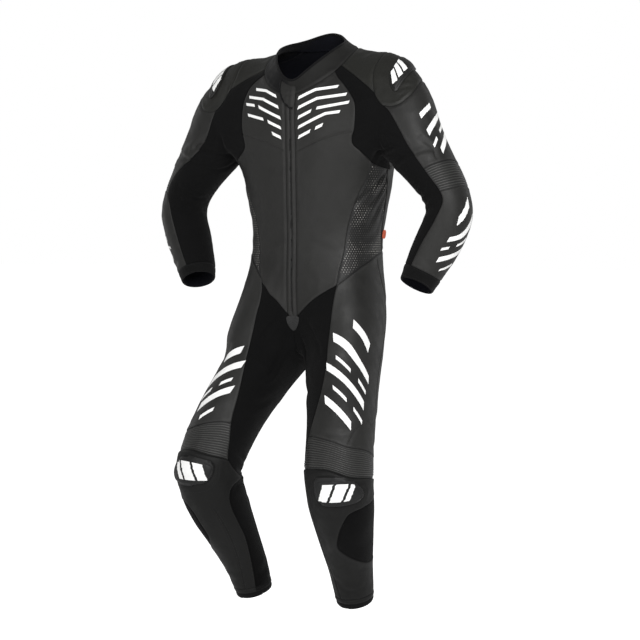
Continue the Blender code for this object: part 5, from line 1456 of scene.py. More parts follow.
def perforated_material(name, colour, dot):
    """Soft leather with rows of small punched holes that show the lighter cloth behind."""
    m = Nodes(name, colour, 0.55)
    n = m.node("ShaderNodeUVMap", uv_map="cut").outputs["UV"]
    pitch = 0.0062
    near = None
    for ox, oy in ((0.0, 0.0), (0.5, 0.5)):
        mp = m.node("ShaderNodeMapping")
        mp.inputs["Scale"].default_value = (1 / pitch, 1 / (pitch * 1.732), 1)
        mp.inputs["Location"].default_value = (ox, oy, 0)
        m.link(n, mp.inputs["Vector"])
        fr = m.node("ShaderNodeVectorMath", operation="FRACTION")
        m.link(mp.outputs["Vector"], fr.inputs[0])
        sb = m.node("ShaderNodeVectorMath", operation="SUBTRACT")
        m.link(fr.outputs["Vector"], sb.inputs[0])
        sb.inputs[1].default_value = (0.5, 0.5, 0.0)
        ml = m.node("ShaderNodeVectorMath", operation="MULTIPLY")
        m.link(sb.outputs["Vector"], ml.inputs[0])
        ml.inputs[1].default_value = (1, 1.732, 0)
        ln = m.node("ShaderNodeVectorMath", operation="LENGTH")
        m.link(ml.outputs["Vector"], ln.inputs[0])
        near = ln.outputs["Value"] if near is None else m.math("MINIMUM", near, ln.outputs["Value"])
    e = m.edge()
    hole = m.math("MULTIPLY", m.ramp(near, 0.15, 0.21, 1.0, 0.0), m.ramp(e, 3.5, 4.2))
    mid = m.noise(40.0, 3.0, 0.6, warp=0.3)
    patch = m.noise(15.0, 3.0, 0.62, warp=0.6)
    tone = m.mix(m.ramp(mid, 0.35, 0.7), scaled(colour, 0.82), scaled(colour, 1.25))
    # painted shade: darker within 1.6 mm of a seam
    tone = m.mix(m.ramp(e, 0.0, 1.6, 0.7, 0.0), tone, scaled(colour, 0.3))
    tone = m.mix(m.math("MULTIPLY", hole, m.ramp(patch, 0.42, 0.64, 0.10, 1.0)), tone, dot)
    m.colour(tone)
    m.rough(m.ramp(mid, 0.3, 0.7, 0.50, 0.62))
    first = m.bump(m.cells(800.0, "SMOOTH_F1"), 0.0004, 0.25)
    m.bump(m.math("SUBTRACT", 1.0, hole), 0.0006, 0.6, first)
    m.set(Specular_IOR_Level=0.35)
    return m.mat


def cloth_material(name, colour, rough=0.9, pitch=0.0009, spec=0.15, sheen=0.08, bump=0.5):
    """Plain small weave."""
    m = Nodes(name, colour, rough)
    a = m.cells(1 / pitch, "F1", random=0.25)
    fuzz = m.noise(1800.0, 3.0, 0.7)
    broad = m.noise(22.0, 3.0, 0.6)
    tone = m.mix(m.ramp(a, 0.1, 0.6), scaled(colour, 1.25), scaled(colour, 0.6))
    tone = m.mix(m.ramp(broad, 0.35, 0.7, 0.0, 0.4), tone, scaled(colour, 1.4))
    m.colour(tone)
    m.rough(m.ramp(fuzz, 0.3, 0.7, rough - 0.06, min(1.0, rough + 0.05)))
    first = m.bump(a, 0.0004, bump)
    m.bump(fuzz, 0.0002, 0.35, first)
    m.set(Specular_IOR_Level=spec, Sheen_Weight=sheen, Sheen_Roughness=0.5)
    return m.mat


def plastic_material(name, colour, rough, scratch=0.5, spec=0.45, fine=900.0, coat=0.0):
    """Moulded plastic with a fine matte texture, scuffed lightly."""
    m = Nodes(name, colour, rough)
    tex = m.noise(fine, 3.0, 0.6)
    scuff = m.noise(60.0, 5.0, 0.7, m.stretched((1.0, 1.0, 5.0)), 1.2)
    broad = m.noise(14.0, 2.0, 0.5)
    tone = m.mix(m.ramp(broad, 0.3, 0.7), scaled(colour, 0.88), scaled(colour, 1.14))
    tone = m.mix(m.ramp(scuff, 0.60, 0.78, 0.0, 0.45 * scratch), tone, scaled(colour, 2.4))
    m.colour(tone)
    m.rough(m.math("ADD", m.ramp(scuff, 0.5, 0.75, rough, rough + 0.16 * scratch), m.ramp(tex, 0.3, 0.7, -0.03, 0.04)))
    m.bump(tex, 0.00025, 0.35)
    m.set(Specular_IOR_Level=spec, Coat_Weight=coat, Coat_Roughness=0.25)
    return m.mat


def white_material(name):
    """White leather applique: soft grain, faint greying where it is handled."""
    c = (0.86, 0.86, 0.85)
    m = Nodes(name, c, 0.5)
    pebble = m.cells(780.0, "SMOOTH_F1")
    soil = m.noise(45.0, 4.0, 0.6)
    tone = m.mix(m.ramp(soil, 0.45, 0.85, 0.0, 0.5), c, (0.74, 0.735, 0.72))
    tone = m.mix(m.ramp(pebble, 0.15, 0.6, 0.0, 0.12), tone, (0.66, 0.66, 0.65))
    m.colour(tone)
    m.rough(m.ramp(soil, 0.3, 0.7, 0.46, 0.58))
    m.bump(pebble, 0.0004, 0.22)
    m.set(Specular_IOR_Level=0.4)
    return m.mat


def metal_material(name, colour, rough):
    m = Nodes(name, colour, rough)
    n = m.noise(1200.0, 2.0, 0.5)
    m.colour(m.mix(m.ramp(n, 0.3, 0.7), scaled(colour, 0.8), scaled(colour, 1.4)))
    m.rough(m.ramp(n, 0.3, 0.7, rough - 0.05, rough + 0.1))
    m.bump(n, 0.0001, 0.3)
    m.set(Metallic=0.85)
    return m.mat


MATS = {
    "body": leather_material("charcoal leather", (0.0116, 0.0114, 0.0107), 0.50, 1.0, 1.3, 0.27),
    # lighter copy of the charcoal leather for the thighs: painted light
    "thigh": leather_material("thigh leather painted lighter", (0.0126, 0.0125, 0.0118), 0.50, 1.0, 1.2, 0.27),
    # darker copy of the charcoal leather for shins, backs of the thighs and the hem facing: painted shade
    "lower": leather_material("lower leather painted shade", (0.0056, 0.0056, 0.0054), 0.56, 1.0, 1.2, 0.18),
    "shoulder": leather_material("shoulder leather", (0.0088, 0.0088, 0.0072), 0.52, 1.0, 1.0, 0.30),
    "rib": rib_material("rib leather", (0.0125, 0.0125, 0.0116)),
    # the last colour paints the wearer's right half of the collar near-black, as painted shade
    "collar": leather_material("collar leather", (0.0082, 0.0081, 0.0075), 0.56, 0.7, 1.0, 0.20, (0.0022, 0.0022, 0.0025)),
    "perforated": perforated_material("perforated leather", (0.0046, 0.0046, 0.0045), (0.28, 0.27, 0.25)),
    "stretch": stretch_material("stretch weave", (0.0030, 0.0030, 0.0031)),
    # darker copy of the stretch weave for the calves: painted shade
    "calf": stretch_material("calf stretch painted shade", (0.0014, 0.0014, 0.0015)),
    "trim": cloth_material("trim band", (0.0044, 0.0044, 0.0045), 0.88, 0.0012, 0.10, 0.04),
    "neoprene": cloth_material("neoprene", (0.0036, 0.0036, 0.0039), 0.85, 0.0008, 0.12, 0.05),
    "lining": cloth_material("lining mesh", (0.0045, 0.0050, 0.0080), 0.92, 0.0018, 0.08, 0.05, 0.8),
    "grey": cloth_material("grey patch", (0.030, 0.030, 0.030), 0.9, 0.0010),
    "webbing": cloth_material("orange tape", (0.72, 0.11, 0.035), 0.75, 0.0012, 0.2, 0.1, 0.8),
    "cap": plastic_material("cap plastic", (0.0080, 0.0080, 0.0076), 0.44, 0.4, 0.32),
    "slider": plastic_material("slider plastic", (0.0070, 0.0070, 0.0070), 0.5, 0.8, 0.28, 700.0),
    "white": white_material("white applique"),
    "thread": cloth_material("thread", (0.0130, 0.0130, 0.0125), 0.7, 0.0004, 0.3, 0.08),
    "zip": metal_material("zip teeth", (0.02, 0.02, 0.02), 0.4),
}


# ------------------------------------------------------------------ flat outlines laid on a surface
def outline_distance(P, poly):
    """Distance of flat points to a closed outline, and whether they lie inside it."""
    A = np.array(poly, float)
    B = np.roll(A, -1, 0)
    T = B - A
    L2 = np.maximum((T * T).sum(1), 1e-12)
    d = P[:, None] - A[None]
    t = np.clip((d * T[None]).sum(2) / L2, 0, 1)
    dist = np.linalg.norm(d - T[None] * t[..., None], axis=2).min(1)
    y = P[:, 1][:, None]
    x = P[:, 0][:, None]
    cross = (A[None, :, 1] > y) != (B[None, :, 1] > y)
    with np.errstate(divide="ignore", invalid="ignore"):
        at = (B[None, :, 0] - A[None, :, 0]) * (y - A[None, :, 1]) / (B[None, :, 1] - A[None, :, 1]) + A[None, :, 0]
    odd = (cross & (x < at)).sum(1) % 2 == 1
    return dist, odd


def fill_outline(poly, h, rows=()):
    """Triangles inside a flat outline: rim points, rings at the given insets, and a filling grid."""
    poly = [tuple(p) for p in poly]
    rim = []
    for (x1, y1), (x2, y2) in zip(poly, poly[1:] + poly[:1]):
        n = max(1, round(math.hypot(x2 - x1, y2 - y1) / h))
        rim += [(x1 + (x2 - x1) * i / n, y1 + (y2 - y1) * i / n) for i in range(n)]
    A = np.array(rim)
    lo, hi = A.min(0), A.max(0)
    grid = []
    y, i = lo[1] + h * 0.5, 0
    while y < hi[1]:
        x = lo[0] + h * (0.5 if i % 2 else 1.0)
        while x < hi[0]:
            grid.append((x, y))
            x += h
        y += h * 0.87
        i += 1
    pts = list(rim)
    if grid:
        G = np.array(grid)
        d, odd = outline_distance(G, poly)
        keep = odd & (d > 0.55 * h)
        for r in rows:
            keep &= np.abs(d - r) > 0.5 * h
        pts += [tuple(p) for p in G[keep]]
    for r in rows:          # points on an inset ring, found by sliding rim points inwards
        T = np.roll(A, -1, 0) - np.roll(A, 1, 0)
        T /= np.maximum(np.linalg.norm(T, axis=1)[:, None], 1e-9)
        area = 0.5 * (A[:, 0] * np.roll(A[:, 1], -1) - np.roll(A[:, 0], -1) * A[:, 1]).sum()
        M = np.stack([-T[:, 1], T[:, 0]], 1) * (1 if area > 0 else -1)
        R = A + M * r
        d, odd = outline_distance(R, poly)
        pts += [tuple(p) for p in R[odd & (np.abs(d - r) < 0.12 * h + 0.15)]]
    edges = [(j, (j + 1) % len(rim)) for j in range(len(rim))]
    out = delaunay_2d_cdt([Vector(p) for p in pts], edges, [], 1, 1e-5)
    flat = np.array([tuple(p) for p in out[0]])
    faces = [list(f) for f in out[2]]
    C = np.array([flat[f].mean(0) for f in faces])
    _, odd = outline_distance(C, poly)
    faces = [f for f, o in zip(faces, odd) if o]
    used = sorted({i for f in faces for i in f})
    number = {i: k for k, i in enumerate(used)}
    return flat[used], [[number[i] for i in f] for f in faces]


def object_from(name, pts, faces, mats, index=None, sharp=40.0, uv=None):
    mesh = bpy.data.meshes.new(name)
    mesh.from_pydata((np.array(pts) * 0.001).tolist(), [], [list(map(int, f)) for f in faces])
    mesh.polygons.foreach_set("use_smooth", np.ones(len(faces), bool))
    for m in mats:
        mesh.materials.append(m)
    if index is not None:
        mesh.polygons.foreach_set("material_index", np.array(index, np.int32))
    mesh.update()
    mesh.set_sharp_from_angle(angle=math.radians(sharp))
    layer = mesh.uv_layers.new(name="cut")
    corner = np.zeros(len(mesh.loops), np.int32)
    mesh.loops.foreach_get("vertex_index", corner)
    flat = np.array(pts)[:, [0, 2]] if uv is None else np.array(uv)
    layer.data.foreach_set("uv", (flat[corner] * 0.001).astype(np.float32).ravel())
    att = mesh.attributes.new("edge", "FLOAT", "POINT")
    att.data.foreach_set("value", np.full(len(mesh.vertices), 12.0, np.float32))
    obj = bpy.data.objects.new(name, mesh)
    bpy.context.scene.collection.objects.link(obj)
    return obj


def drop(point, normal, tree=None, up=25.0, far=70.0):
    """Where a line along the surface normal meets the made surface."""
    tree = tree or GROUND
    hit = tree.ray_cast(Vector(point + normal * up), Vector(-normal), far)
    if hit[0] is None:
        hit = tree.find_nearest(Vector(point))
    return np.array(hit[0]), np.array(hit[1]), hit[2]


def soft_at(where, along, angle, tag):
    """Point of a limb, evened out along it, so that edges laid over a bend stay straight."""
    if where not in ("arm", "leg"):
        return form.at(where, along, angle, tag)
    return sum(form.at(where, along + d, angle, tag) * w for d, w in ((-16, 1), (-8, 2), (0, 3), (8, 2), (16, 1))) / 9


def place_flat(where, flat, k, tag, tree=None):
    """Flat points (along, round * k) of a limb or the torso, or (x, z) of the front, on the made surface."""
    P, N = [], []
    for a, b in flat:
        if where == "front":
            o = np.array([a, -420.0, b])
            hit = (tree or GROUND).ray_cast(Vector(o), Vector((0, 1, 0)), 600)
            P.append(np.array(hit[0]))
            N.append(form.normal(np.array(hit[0])))
        else:
            q = soft_at(where, a, b / k, tag)
            n = form.normal(q)
            p, _, _ = drop(q, n, tree)
            P.append(p)
            N.append(n)
    return np.array(P), np.array(N)


def slab(name, flat, faces, P, N, low, high, mats, uv=None, sharp=40.0, want=False):
    """Closed thin solid on points P: underside at `low`, top at `high` (numbers or one a point)."""
    low = np.broadcast_to(np.asarray(low, float), (len(P),))
    high = np.broadcast_to(np.asarray(high, float), (len(P),))
    top = P + N * high[:, None]
    base_ = P + N * low[:, None]
    good, count = [], {}
    for f in faces:
        n = np.cross(P[f[1]] - P[f[0]], P[f[2]] - P[f[0]])
        if n @ N[f[0]] < 0:
            f = f[::-1]
        good.append(f)
        for a, b in zip(f, f[1:] + f[:1]):
            count[a, b] = 1
    m = len(P)
    out = good + [[i + m for i in reversed(f)] for f in good]
    for a, b in count:
        if (b, a) not in count:
            out.append([b, a, a + m, b + m])
    pts = np.concatenate([top, base_])
    if want:
        return pts, out
    obj = object_from(name, pts, out, mats, uv=None if uv is None else np.concatenate([uv, uv]), sharp=sharp)
    return obj


def stroke(points, width, cut=None):
    """Outline of a mitred flat stroke along a run of points; cut = direction of its two ends."""
    P = [np.array(p, float) for p in points]
    left, right = [], []
    for i, p in enumerate(P):
        if i == 0:
            t = P[1] - P[0]
        elif i == len(P) - 1:
            t = P[-1] - P[-2]
        else:
            a, b = P[i] - P[i - 1], P[i + 1] - P[i]
            t = a / np.linalg.norm(a) + b / np.linalg.norm(b)
        t /= np.linalg.norm(t)
        n = np.array([-t[1], t[0]])
        if 0 < i < len(P) - 1:
            a = (P[i] - P[i - 1]) / np.linalg.norm(P[i] - P[i - 1])
            n = n / max(abs(n @ np.array([-a[1], a[0]])), 0.4)
        elif cut is not None:
            c = np.array(cut, float)
            c /= np.linalg.norm(c)
            f = n @ c
            n = c / (f if abs(f) > 0.35 else math.copysign(0.35, f))
        left.append(tuple(p + n * width / 2))
        right.append(tuple(p - n * width / 2))
    return left + right[::-1]


def applique(name, where, tag, k, outlines, thick=0.55, h=3.0, mat="white", tree=None, gap=0.12):
    """Flat shapes sewn on the panels, all in one mesh."""
    pts, faces, uvs = [], [], []
    n = 0
    for poly in outlines:
        flat, tri = fill_outline(poly, h)
        P, N = place_flat(where, flat, k, tag, tree)
        p, f = slab("", flat, tri, P, N, gap, gap + thick, None, want=True)
        pts.append(p)
        faces += [[i + n for i in g] for g in f]
        uvs.append(np.concatenate([flat, flat]))
        n += len(p)
    return object_from(name, np.concatenate(pts), faces, [MATS[mat]], uv=np.concatenate(uvs))


# ------------------------------------------------------------------ thread
def stitch_row(points, normals, pitch=3.3, length=2.4, wide=0.75, high=0.42, store=None):
    """Raised stitches along a run of surface points."""
    P, N = np.array(points), np.array(normals)
    step = np.linalg.norm(np.diff(P, axis=0), axis=1)
    at = np.concatenate([[0], np.cumsum(step)])
    count = int((at[-1] - length) / pitch)
    for i in range(count):
        s = length / 2 + (i + 0.5) * pitch
        k = min(int(np.searchsorted(at, s)) - 1, len(step) - 1)
        if k < 0 or step[k] < 1e-6 or step[k] > 12:
            continue
        u = (s - at[k]) / step[k]
        p = P[k] + (P[k + 1] - P[k]) * u
        n = N[k] + (N[k + 1] - N[k]) * u
        n /= max(np.linalg.norm(n), 1e-9)
        t = P[k + 1] - P[k]
        t = t - n * (t @ n)
        t /= max(np.linalg.norm(t), 1e-9)
        w = np.cross(n, t)
        m = len(store[0])
        store[0] += [p - t * length / 2 - n * 0.15, p + t * length / 2 - n * 0.15, p + w * wide / 2, p - w * wide / 2, p + n * high, p - n * 0.2]
        store[1] += [[m, m + 3, m + 4], [m + 3, m + 1, m + 4], [m + 1, m + 2, m + 4], [m + 2, m, m + 4],
                     [m + 3, m, m + 5], [m + 1, m + 3, m + 5], [m + 2, m + 1, m + 5], [m, m + 2, m + 5]]


def surface_run(points, offset=0.0):
    """Points moved to the made surface, with its normals."""
    P, N = [], []
    for p in points:
        hit = GROUND.find_nearest(Vector(p))
        P.append(np.array(hit[0]))
        N.append(np.array(hit[1]))
    N = np.array(N)
    if len(N) > 4:          # evened out along the run
        for _ in range(2):
            N[1:-1] = N[:-2] + 2 * N[1:-1] + N[2:]
            N /= np.linalg.norm(N, axis=1)[:, None]
    return np.array(P), N


def loops_of(border):
    nxt = {}
    for a, b in border.tolist():
        nxt.setdefault(a, []).append(b)
    loops = []
    while nxt:
        a = next(iter(nxt))
        loop = [a]
        while True:
            b = nxt[a].pop()
            if not nxt[a]:
                del nxt[a]
            if b == loop[0] or b not in nxt:
                if b != loop[0]:
                    loop.append(b)
                break
            loop.append(b)
            a = b
        loops.append(loop)
    return loops


def smooth_run(P, closed, times=2):
    P = np.array(P)
    for _ in range(times):
        Q = P.copy()
        if closed:
            Q = (np.roll(P, 1, 0) + 2 * P + np.roll(P, -1, 0)) / 4
        else:
            Q[1:-1] = (P[:-2] + 2 * P[1:-1] + P[2:]) / 4
        P = Q
    return P


def seam_stitches(k, border, store, offsets):
    """Rows of stitches inside the border of panel k at the given distances from it."""
    A, B = V[border[:, 0]], V[border[:, 1]]
    S, _ = sample_segments(A, B, 1.5)
    tree = KDTree(len(S))
    for i, s in enumerate(S.tolist()):
        tree.insert(s, i)
    tree.balance()
    lone_v = set(lone[:, :2].ravel().tolist())
    for loop in loops_of(border):
        if len(loop) < 8:
            continue
        closed = True
        base_run = smooth_run(V[loop], closed)
        T = np.roll(base_run, -1, 0) - np.roll(base_run, 1, 0)
        T /= np.maximum(np.linalg.norm(T, axis=1)[:, None], 1e-9)
        M = np.cross(N[loop], T)
        M /= np.maximum(np.linalg.norm(M, axis=1)[:, None], 1e-9)
        for off in offsets:
            R = base_run + M * off
            near = np.array([tree.find(p)[2] for p in R.tolist()])
            ok = near > off * 0.86
            run = []
            m = len(loop)
            start = int(np.argmin(ok))
            for j in range(m + 1):
                i = (start + j) % m
                if ok[i] and j < m:
                    if run and np.linalg.norm(R[i] - R[run[-1]]) > 12:
                        emit(run, R, store)
                        run = []
                    run.append(i)
                else:
                    emit(run, R, store)
                    run = []


def emit(run, R, store):
    if len(run) < 4:
        return
    P, n = surface_run(R[run])
    stitch_row(P, n, store=store)


# ------------------------------------------------------------------ the garment
rng = np.random.default_rng(7)
form, skin, LINES = make_skin()
NAMES, clash = name_faces(form, skin)
if clash or (skin.data["name"] < 0).any():
    raise ValueError("the panels are not apart: %s" % clash)
INDEX = {n: k for k, n in enumerate(NAMES)}

# the hem band's own stitched line
def hem_along(V, tag):
    return axis_values(form, "leg" + tag, V)[0]


for tag in ("_l", "_r"):
    rows = np.flatnonzero(skin.data["name"] == INDEX["hem" + tag])
    own = np.zeros(len(skin.V), bool)
    used = skin.F[rows].ravel()
    own[used[used >= 0]] = True
    value = np.full(len(skin.V), np.nan)
    value[own] = hem_along(skin.V[own], tag) - HEM_LINE
    key = "hem_line" + tag
    skin.carry[key] = value
    for level in (-1.6, 0.0, 1.6):
        skin.cut(skin.carry[key] - level, 0.2, mark=False)

# ribs: rows across each ribbed panel, four to a rib
ribs = []
for rib, (top, bottom, count, high) in RIBS.items():
    for tag in ("_l", "_r"):
        own = np.zeros(len(skin.V) + 1, bool)
        own[skin.F[skin.data["name"] == INDEX[rib + tag]].ravel()] = True
        own = own[:-1]
        value = np.full(len(skin.V), np.nan)
        value[own] = rib_value(skin.V[own], LINES[top + tag], LINES[bottom + tag], count)
        key = rib + tag
        skin.carry[key] = value
        for q in range(1, count * 4):
            skin.cut(skin.carry[key] - q / 4, 0.25, mark=False)
        ribs.append((key, high))

# sewn lines inside the panels: rows beside each so that its groove is crisp
def signed_to(line, parts, reach=14.0):
    facing = np.array([form.normal(p) for p in line])
    return skin.distance(line, False, reach, parts, facing)


INNER = {}
for title, (sides, rows) in INNER_SEAMS.items():
    for tag in ("_l", "_r"):
        if tag[1].upper() not in sides:
            continue
        line = seam_line(form, side_rows(rows, tag) if len(rows[0]) == 4 else rows, tag, step=5.0)
        INNER[title + tag] = line
        parts = ("torso", "arm" + tag, "leg" + tag)
        for level in (0.0, -1.5, 1.5, -3.2, 3.2):
            skin.cut(signed_to(line, parts) - level, 0.22, mark=False)
zip_line = []
for z in (-100, -118, -140, -180, -240, -300, -360, -420, -480, -540, -590, -632):
    hit = form.tree["torso"].ray_cast(Vector((0, -400, z)), Vector((0, 1, 0)))
    zip_line.append(np.array(hit[0]))
zip_line = dense(zip_line)
for level in (-4.2, -2.4, -1.2, 1.2, 2.4, 4.2):
    skin.cut(signed_to(zip_line, ("torso",)) - level, 0.22, mark=False)

base = compress(skin)
V0, N0 = skin.V.copy(), skin.N.copy()
seam, lone = border_segments(skin)
SA = np.concatenate([skin.V[seam[:, 0]], skin.V[lone[:, 0]]])
SB = np.concatenate([skin.V[seam[:, 1]], skin.V[lone[:, 1]]])
name = skin.data["name"]
SN = np.concatenate([np.stack([name[seam[:, 2]], name[seam[:, 3]]], 1), np.stack([name[lone[:, 2]], np.full(len(lone), -1)], 1)])
D, which = seam_distance(skin.V, SA, SB)
skin.carry["D"] = D
skin.locked[lone[:, :2].ravel()] = True
for level in (1.3, 2.9, 6.0):
    skin.cut(skin.carry["D"] - level, 0.25, mark=False)
D, which = seam_distance(skin.V, SA, SB)
V, N = skin.V, skin.N
def final_faces(title):
    rows = skin.F[skin.data["name"] == INDEX[title]].ravel()
    return rows[rows >= 0]


lift = crease_field(V, N, form, rng) + 0.55 * waves(V, rng, 14, 55, 150) + 0.16 * waves(V, rng, 12, 16, 34)
for line in list(INNER.values()):
    use = np.flatnonzero(((V > line.min(0) - 14) & (V < line.max(0) + 14)).all(1))
    k, t, q, r = nearest_on(V[use], line)
    facing = np.array([form.normal(p) for p in line])
    ok = ((N[use] * facing[k]).sum(1) > 0.2) & ~((k == 0) & (t <= 0)) & ~((k == len(line) - 2) & (t >= 1)) & (r < 14)
    r = r[ok]
    lift[use[ok]] += -1.25 * np.exp(-(r / 1.5) ** 2) + 0.45 * np.exp(-((r - 6.0) / 3.4) ** 2)
# the zip lies sunk between its two strips
use = np.flatnonzero((np.abs(V[:, 0]) < 16) & (V[:, 1] < -60) & (V[:, 2] > -660) & (V[:, 2] < -90))
k, t, q, r = nearest_on(V[use], zip_line)
foot = np.clip((V[use, 2] + 640) / 14, 0, 1)
lift[use] += foot * (-2.3 * np.exp(-(r / 1.9) ** 4) + 0.8 * np.exp(-((r - 5.5) / 3.2) ** 2))

# raised, ringed padding round the knee sliders and shoulder caps
PAD = np.zeros(len(V))
for part, spec in LAID.items():
    if part not in ("shoulder_cap", "knee_slider"):
        continue
    for tag in ("_l", "_r"):
        turn = spec["turn"] if tag == "_r" else 0
        shift = spec["shift"] if tag == "_r" else 0
        rows = [(spec["where"], a + shift, b + turn) for a, b in spec["left"]]
        line = np.array([soft_at(w, a, b, tag) for w, a, b in rows])
        line = dense(list(line), 4.0, closed=True)
        line = np.array([form.nearest(p) for p in line])
        use = np.flatnonzero(((V > line.min(0) - 45) & (V < line.max(0) + 45)).all(1))
        k, t, q, r = nearest_on(V[use], line, True)
        facing = np.array([form.normal(p) for p in line])
        centre = form.nearest(line.mean(0))
        away = np.where(np.linalg.norm(V[use] - centre, axis=1) < np.linalg.norm(q - centre, axis=1), -r, r)
        ok = (N[use] * facing[k]).sum(1) > 0.0
        use, away = use[ok], away[ok]
        if part == "knee_slider":
            own = np.isin(np.arange(len(V)), np.unique(final_faces("shin" + tag)))
            keep = own[use]
            use, away = use[keep], away[keep]
            x = np.clip(away, 0, None)
            edge_line = LINES["knee_bottom" + tag]
            _, _, _, gap = nearest_on(V[use], edge_line)
            soft = np.clip((gap - 1.0) / 12.0, 0, 1) ** 1.5
            lift[use] += soft * (3.0 / (1 + np.exp((x - 20) / 3.6)) - 1.9 * np.exp(-((x - 0.6) / 2.0) ** 2) - 1.15 * np.exp(-((x - 11.5) / 1.7) ** 2))
        else:
            own = np.isin(np.arange(len(V)), np.unique(final_faces("cup" + tag)))
            keep = own[use]
            use, away = use[keep], away[keep]
            x = np.clip(away, 0, None)
            for ring in (5.5, 12.0, 18.5):
                lift[use] += -1.15 * np.exp(-((x - ring) / 1.7) ** 2) + 0.5 * np.exp(-((x - ring - 3.4) / 1.8) ** 2)

# knee leather swelling out under the ribs, with a sharp fold against them
for tag in ("_l", "_r"):
    line = LINES["knee_bottom" + tag]
    own = np.unique(final_faces("shin" + tag))
    k, t, q, r = nearest_on(V[own], line)
    u = (k + t) / (len(line) - 1)
    env = np.clip((u - 0.03) / 0.2, 0, 1) * np.clip((0.70 - u) / 0.3, 0, 1)
    uneven = 1 + 0.18 * np.sin(u * 13 + (1 if tag == "_l" else 2))
    lift[own] += KNEE_FOLD * env * uneven * (1 - np.exp(-(r / 3.2) ** 2)) * np.exp(-(np.clip(r - 5, 0, None) / 17) ** 2)
    own = np.unique(final_faces("knee_rib" + tag))
    k, t, q, r = nearest_on(V[own], line)
    lift[own] -= 1.6 * np.exp(-(r / 5.0) ** 2)

RIB = np.full(len(V), 0.5)
for key, high in ribs:
    v = skin.carry[key]
    own = ~np.isnan(v)
    side = np.clip(D[own] / 3.5, 0.0, 1.0)
    end = np.clip(np.minimum(v[own], RIBS[stem(key)][2] - v[own]), 0, 1)
    wave = np.abs(np.sin(np.pi * v[own])) ** 0.8
    lift[own] += high * (wave - 0.75) * side
    RIB[own] = wave * side

for tag in ("_l", "_r"):
    v = skin.carry["hem_line" + tag]
    own = ~np.isnan(v)
    lift[own] += -1.3 * np.exp(-(v[own] / 1.5) ** 2) - 0.5 * (v[own] > 0.5)

final = compress(skin)
TOP = len(V) + 1
SKINS = {
    "leather": "body", "stretch": "stretch", "rib": "rib", "collar": "collar", "side": "perforated", "cuff": "trim",
}
# the lower leather and calf stretch are darker copies as painted shade, the thigh leather a lighter copy as painted
# light
LOOK = {"shin": "lower", "calf": "calf", "thigh": "thigh", "cup": "shoulder", "yoke": "shoulder", "sleeve": "body", "forearm": "body",
        "thigh_back": "lower", "seat": "body"}
SLOT = {"leather": "leather", "stretch": "stretch_cloth", "rib": "ribbed_leather", "collar": "neoprene",
        "side": "perforated_leather", "cuff": "trim_cloth"}
PIECES = {}
BORDER = {}
SHEETS = []
all_p, all_f, all_name = [], [], []
offset = 0


def relief_for(k, ids):
    """Seam relief of panel k on the given vertices."""
    own = kind(NAMES[k])
    d, w = D[ids], which[ids]
    out = np.zeros(len(ids))
    pair = SN[np.maximum(w, 0)]
    other = np.where(pair[:, 0] == k, pair[:, 1], np.where(pair[:, 1] == k, pair[:, 0], -2))
    for o in np.unique(other):
        sel = (other == o) & (w >= 0)
        if not sel.any():
            continue
        ok = kind(NAMES[o]) if o >= 0 else (None if o == -1 else own)
        out[sel] = seam_relief(own, ok, d[sel])
    return out


for k, title in enumerate(NAMES):
    own = kind(title)
    thick = THICK[own]
    ids = np.flatnonzero(final["name"] == k)
    jds = np.flatnonzero(base["name"] == k)
    outer = faces_of(final["F"], final["n"], ids)
    inner = faces_of(base["F"], base["n"], jds)
    E1, E0 = border_of(directed(final["F"], final["n"], ids), TOP), border_of(directed(base["F"], base["n"], jds), TOP)
    if set(map(tuple, E1.tolist())) != set(map(tuple, E0.tolist())):
        raise ValueError("the two faces of %s do not share their border" % title)
    used = np.unique(np.concatenate([final["F"][ids].ravel(), base["F"][jds].ravel()]))
    used = used[used >= 0]
    rel = np.zeros(len(V))
    rel[used] = relief_for(k, used)
    P, Q = V.copy(), np.zeros_like(V)
    Q[:len(V0)] = V0
    move = border_inset(V, N, E1, SEAM_GAP / 2)
    P[used] += N[used] * (lift[used] + rel[used])[:, None]
    old = used[used < len(V0)]
    Q[old] += N0[old] * (lift[old] + np.minimum(rel[old], 0.0) - thick)[:, None]
    # the groove is open outside and closed at the inner face, so that no light shows through a seam
    for v, m in move.items():
        P[v] += m
    uv = np.zeros((len(V), 2))
    uv[used] = cut_coordinates(form, title, V[used])
    look = MATS[LOOK.get(stem(title), SKINS[own])]
    obj = shell_object("skin_" + title, outer, inner, E1, P, Q, D, uv, [look, MATS["lining"]], RIB)
    BORDER[title] = E1
    PIECES[title] = obj
    if own == "cuff" and stem(title) == "hem":
        # above its stitched line the band is faced with the shin leather, the darker copy painted as shade, except over
        # the calf panel
        obj.data.materials.append(MATS["lower"])
        centre = np.zeros(len(obj.data.polygons) * 3, np.float32)
        obj.data.polygons.foreach_get("center", centre)
        centre = centre.reshape(-1, 3).astype(float) * 1000
        s_, a_ = axis_values(form, "leg" + title[-2:], centre)
        index = np.zeros(len(centre), np.int32)
        obj.data.polygons.foreach_get("material_index", index)
        faced = (s_ < HEM_LINE) & (a_ > -161) & (a_ < 129)
        index[(index == 0) & faced] = 2
        obj.data.polygons.foreach_set("material_index", index)
    area = float(skin.areas()[ids].sum()) * 1e-6
    flat = uv[used]
    w, l = np.ptp(flat[:, 0]) * 0.001, np.ptp(flat[:, 1]) * 0.001
    SHEETS.append((title, obj, w, l, area))
    iu = np.unique(final["F"][ids])
    iu = iu[iu >= 0]
    look_up = {v: n + offset for n, v in enumerate(iu.tolist())}
    all_p.append(P[iu])
    all_f += [[look_up[v] for v in f] for f in outer]
    all_name += [k] * len(outer)
    offset += len(iu)

GROUND_P = np.concatenate(all_p)
GROUND = BVHTree.FromPolygons(GROUND_P.tolist(), all_f)
GROUND_NAME = np.array(all_name)


# ------------------------------------------------------------------ hard parts and small cloth parts
GOES_WITH = {}


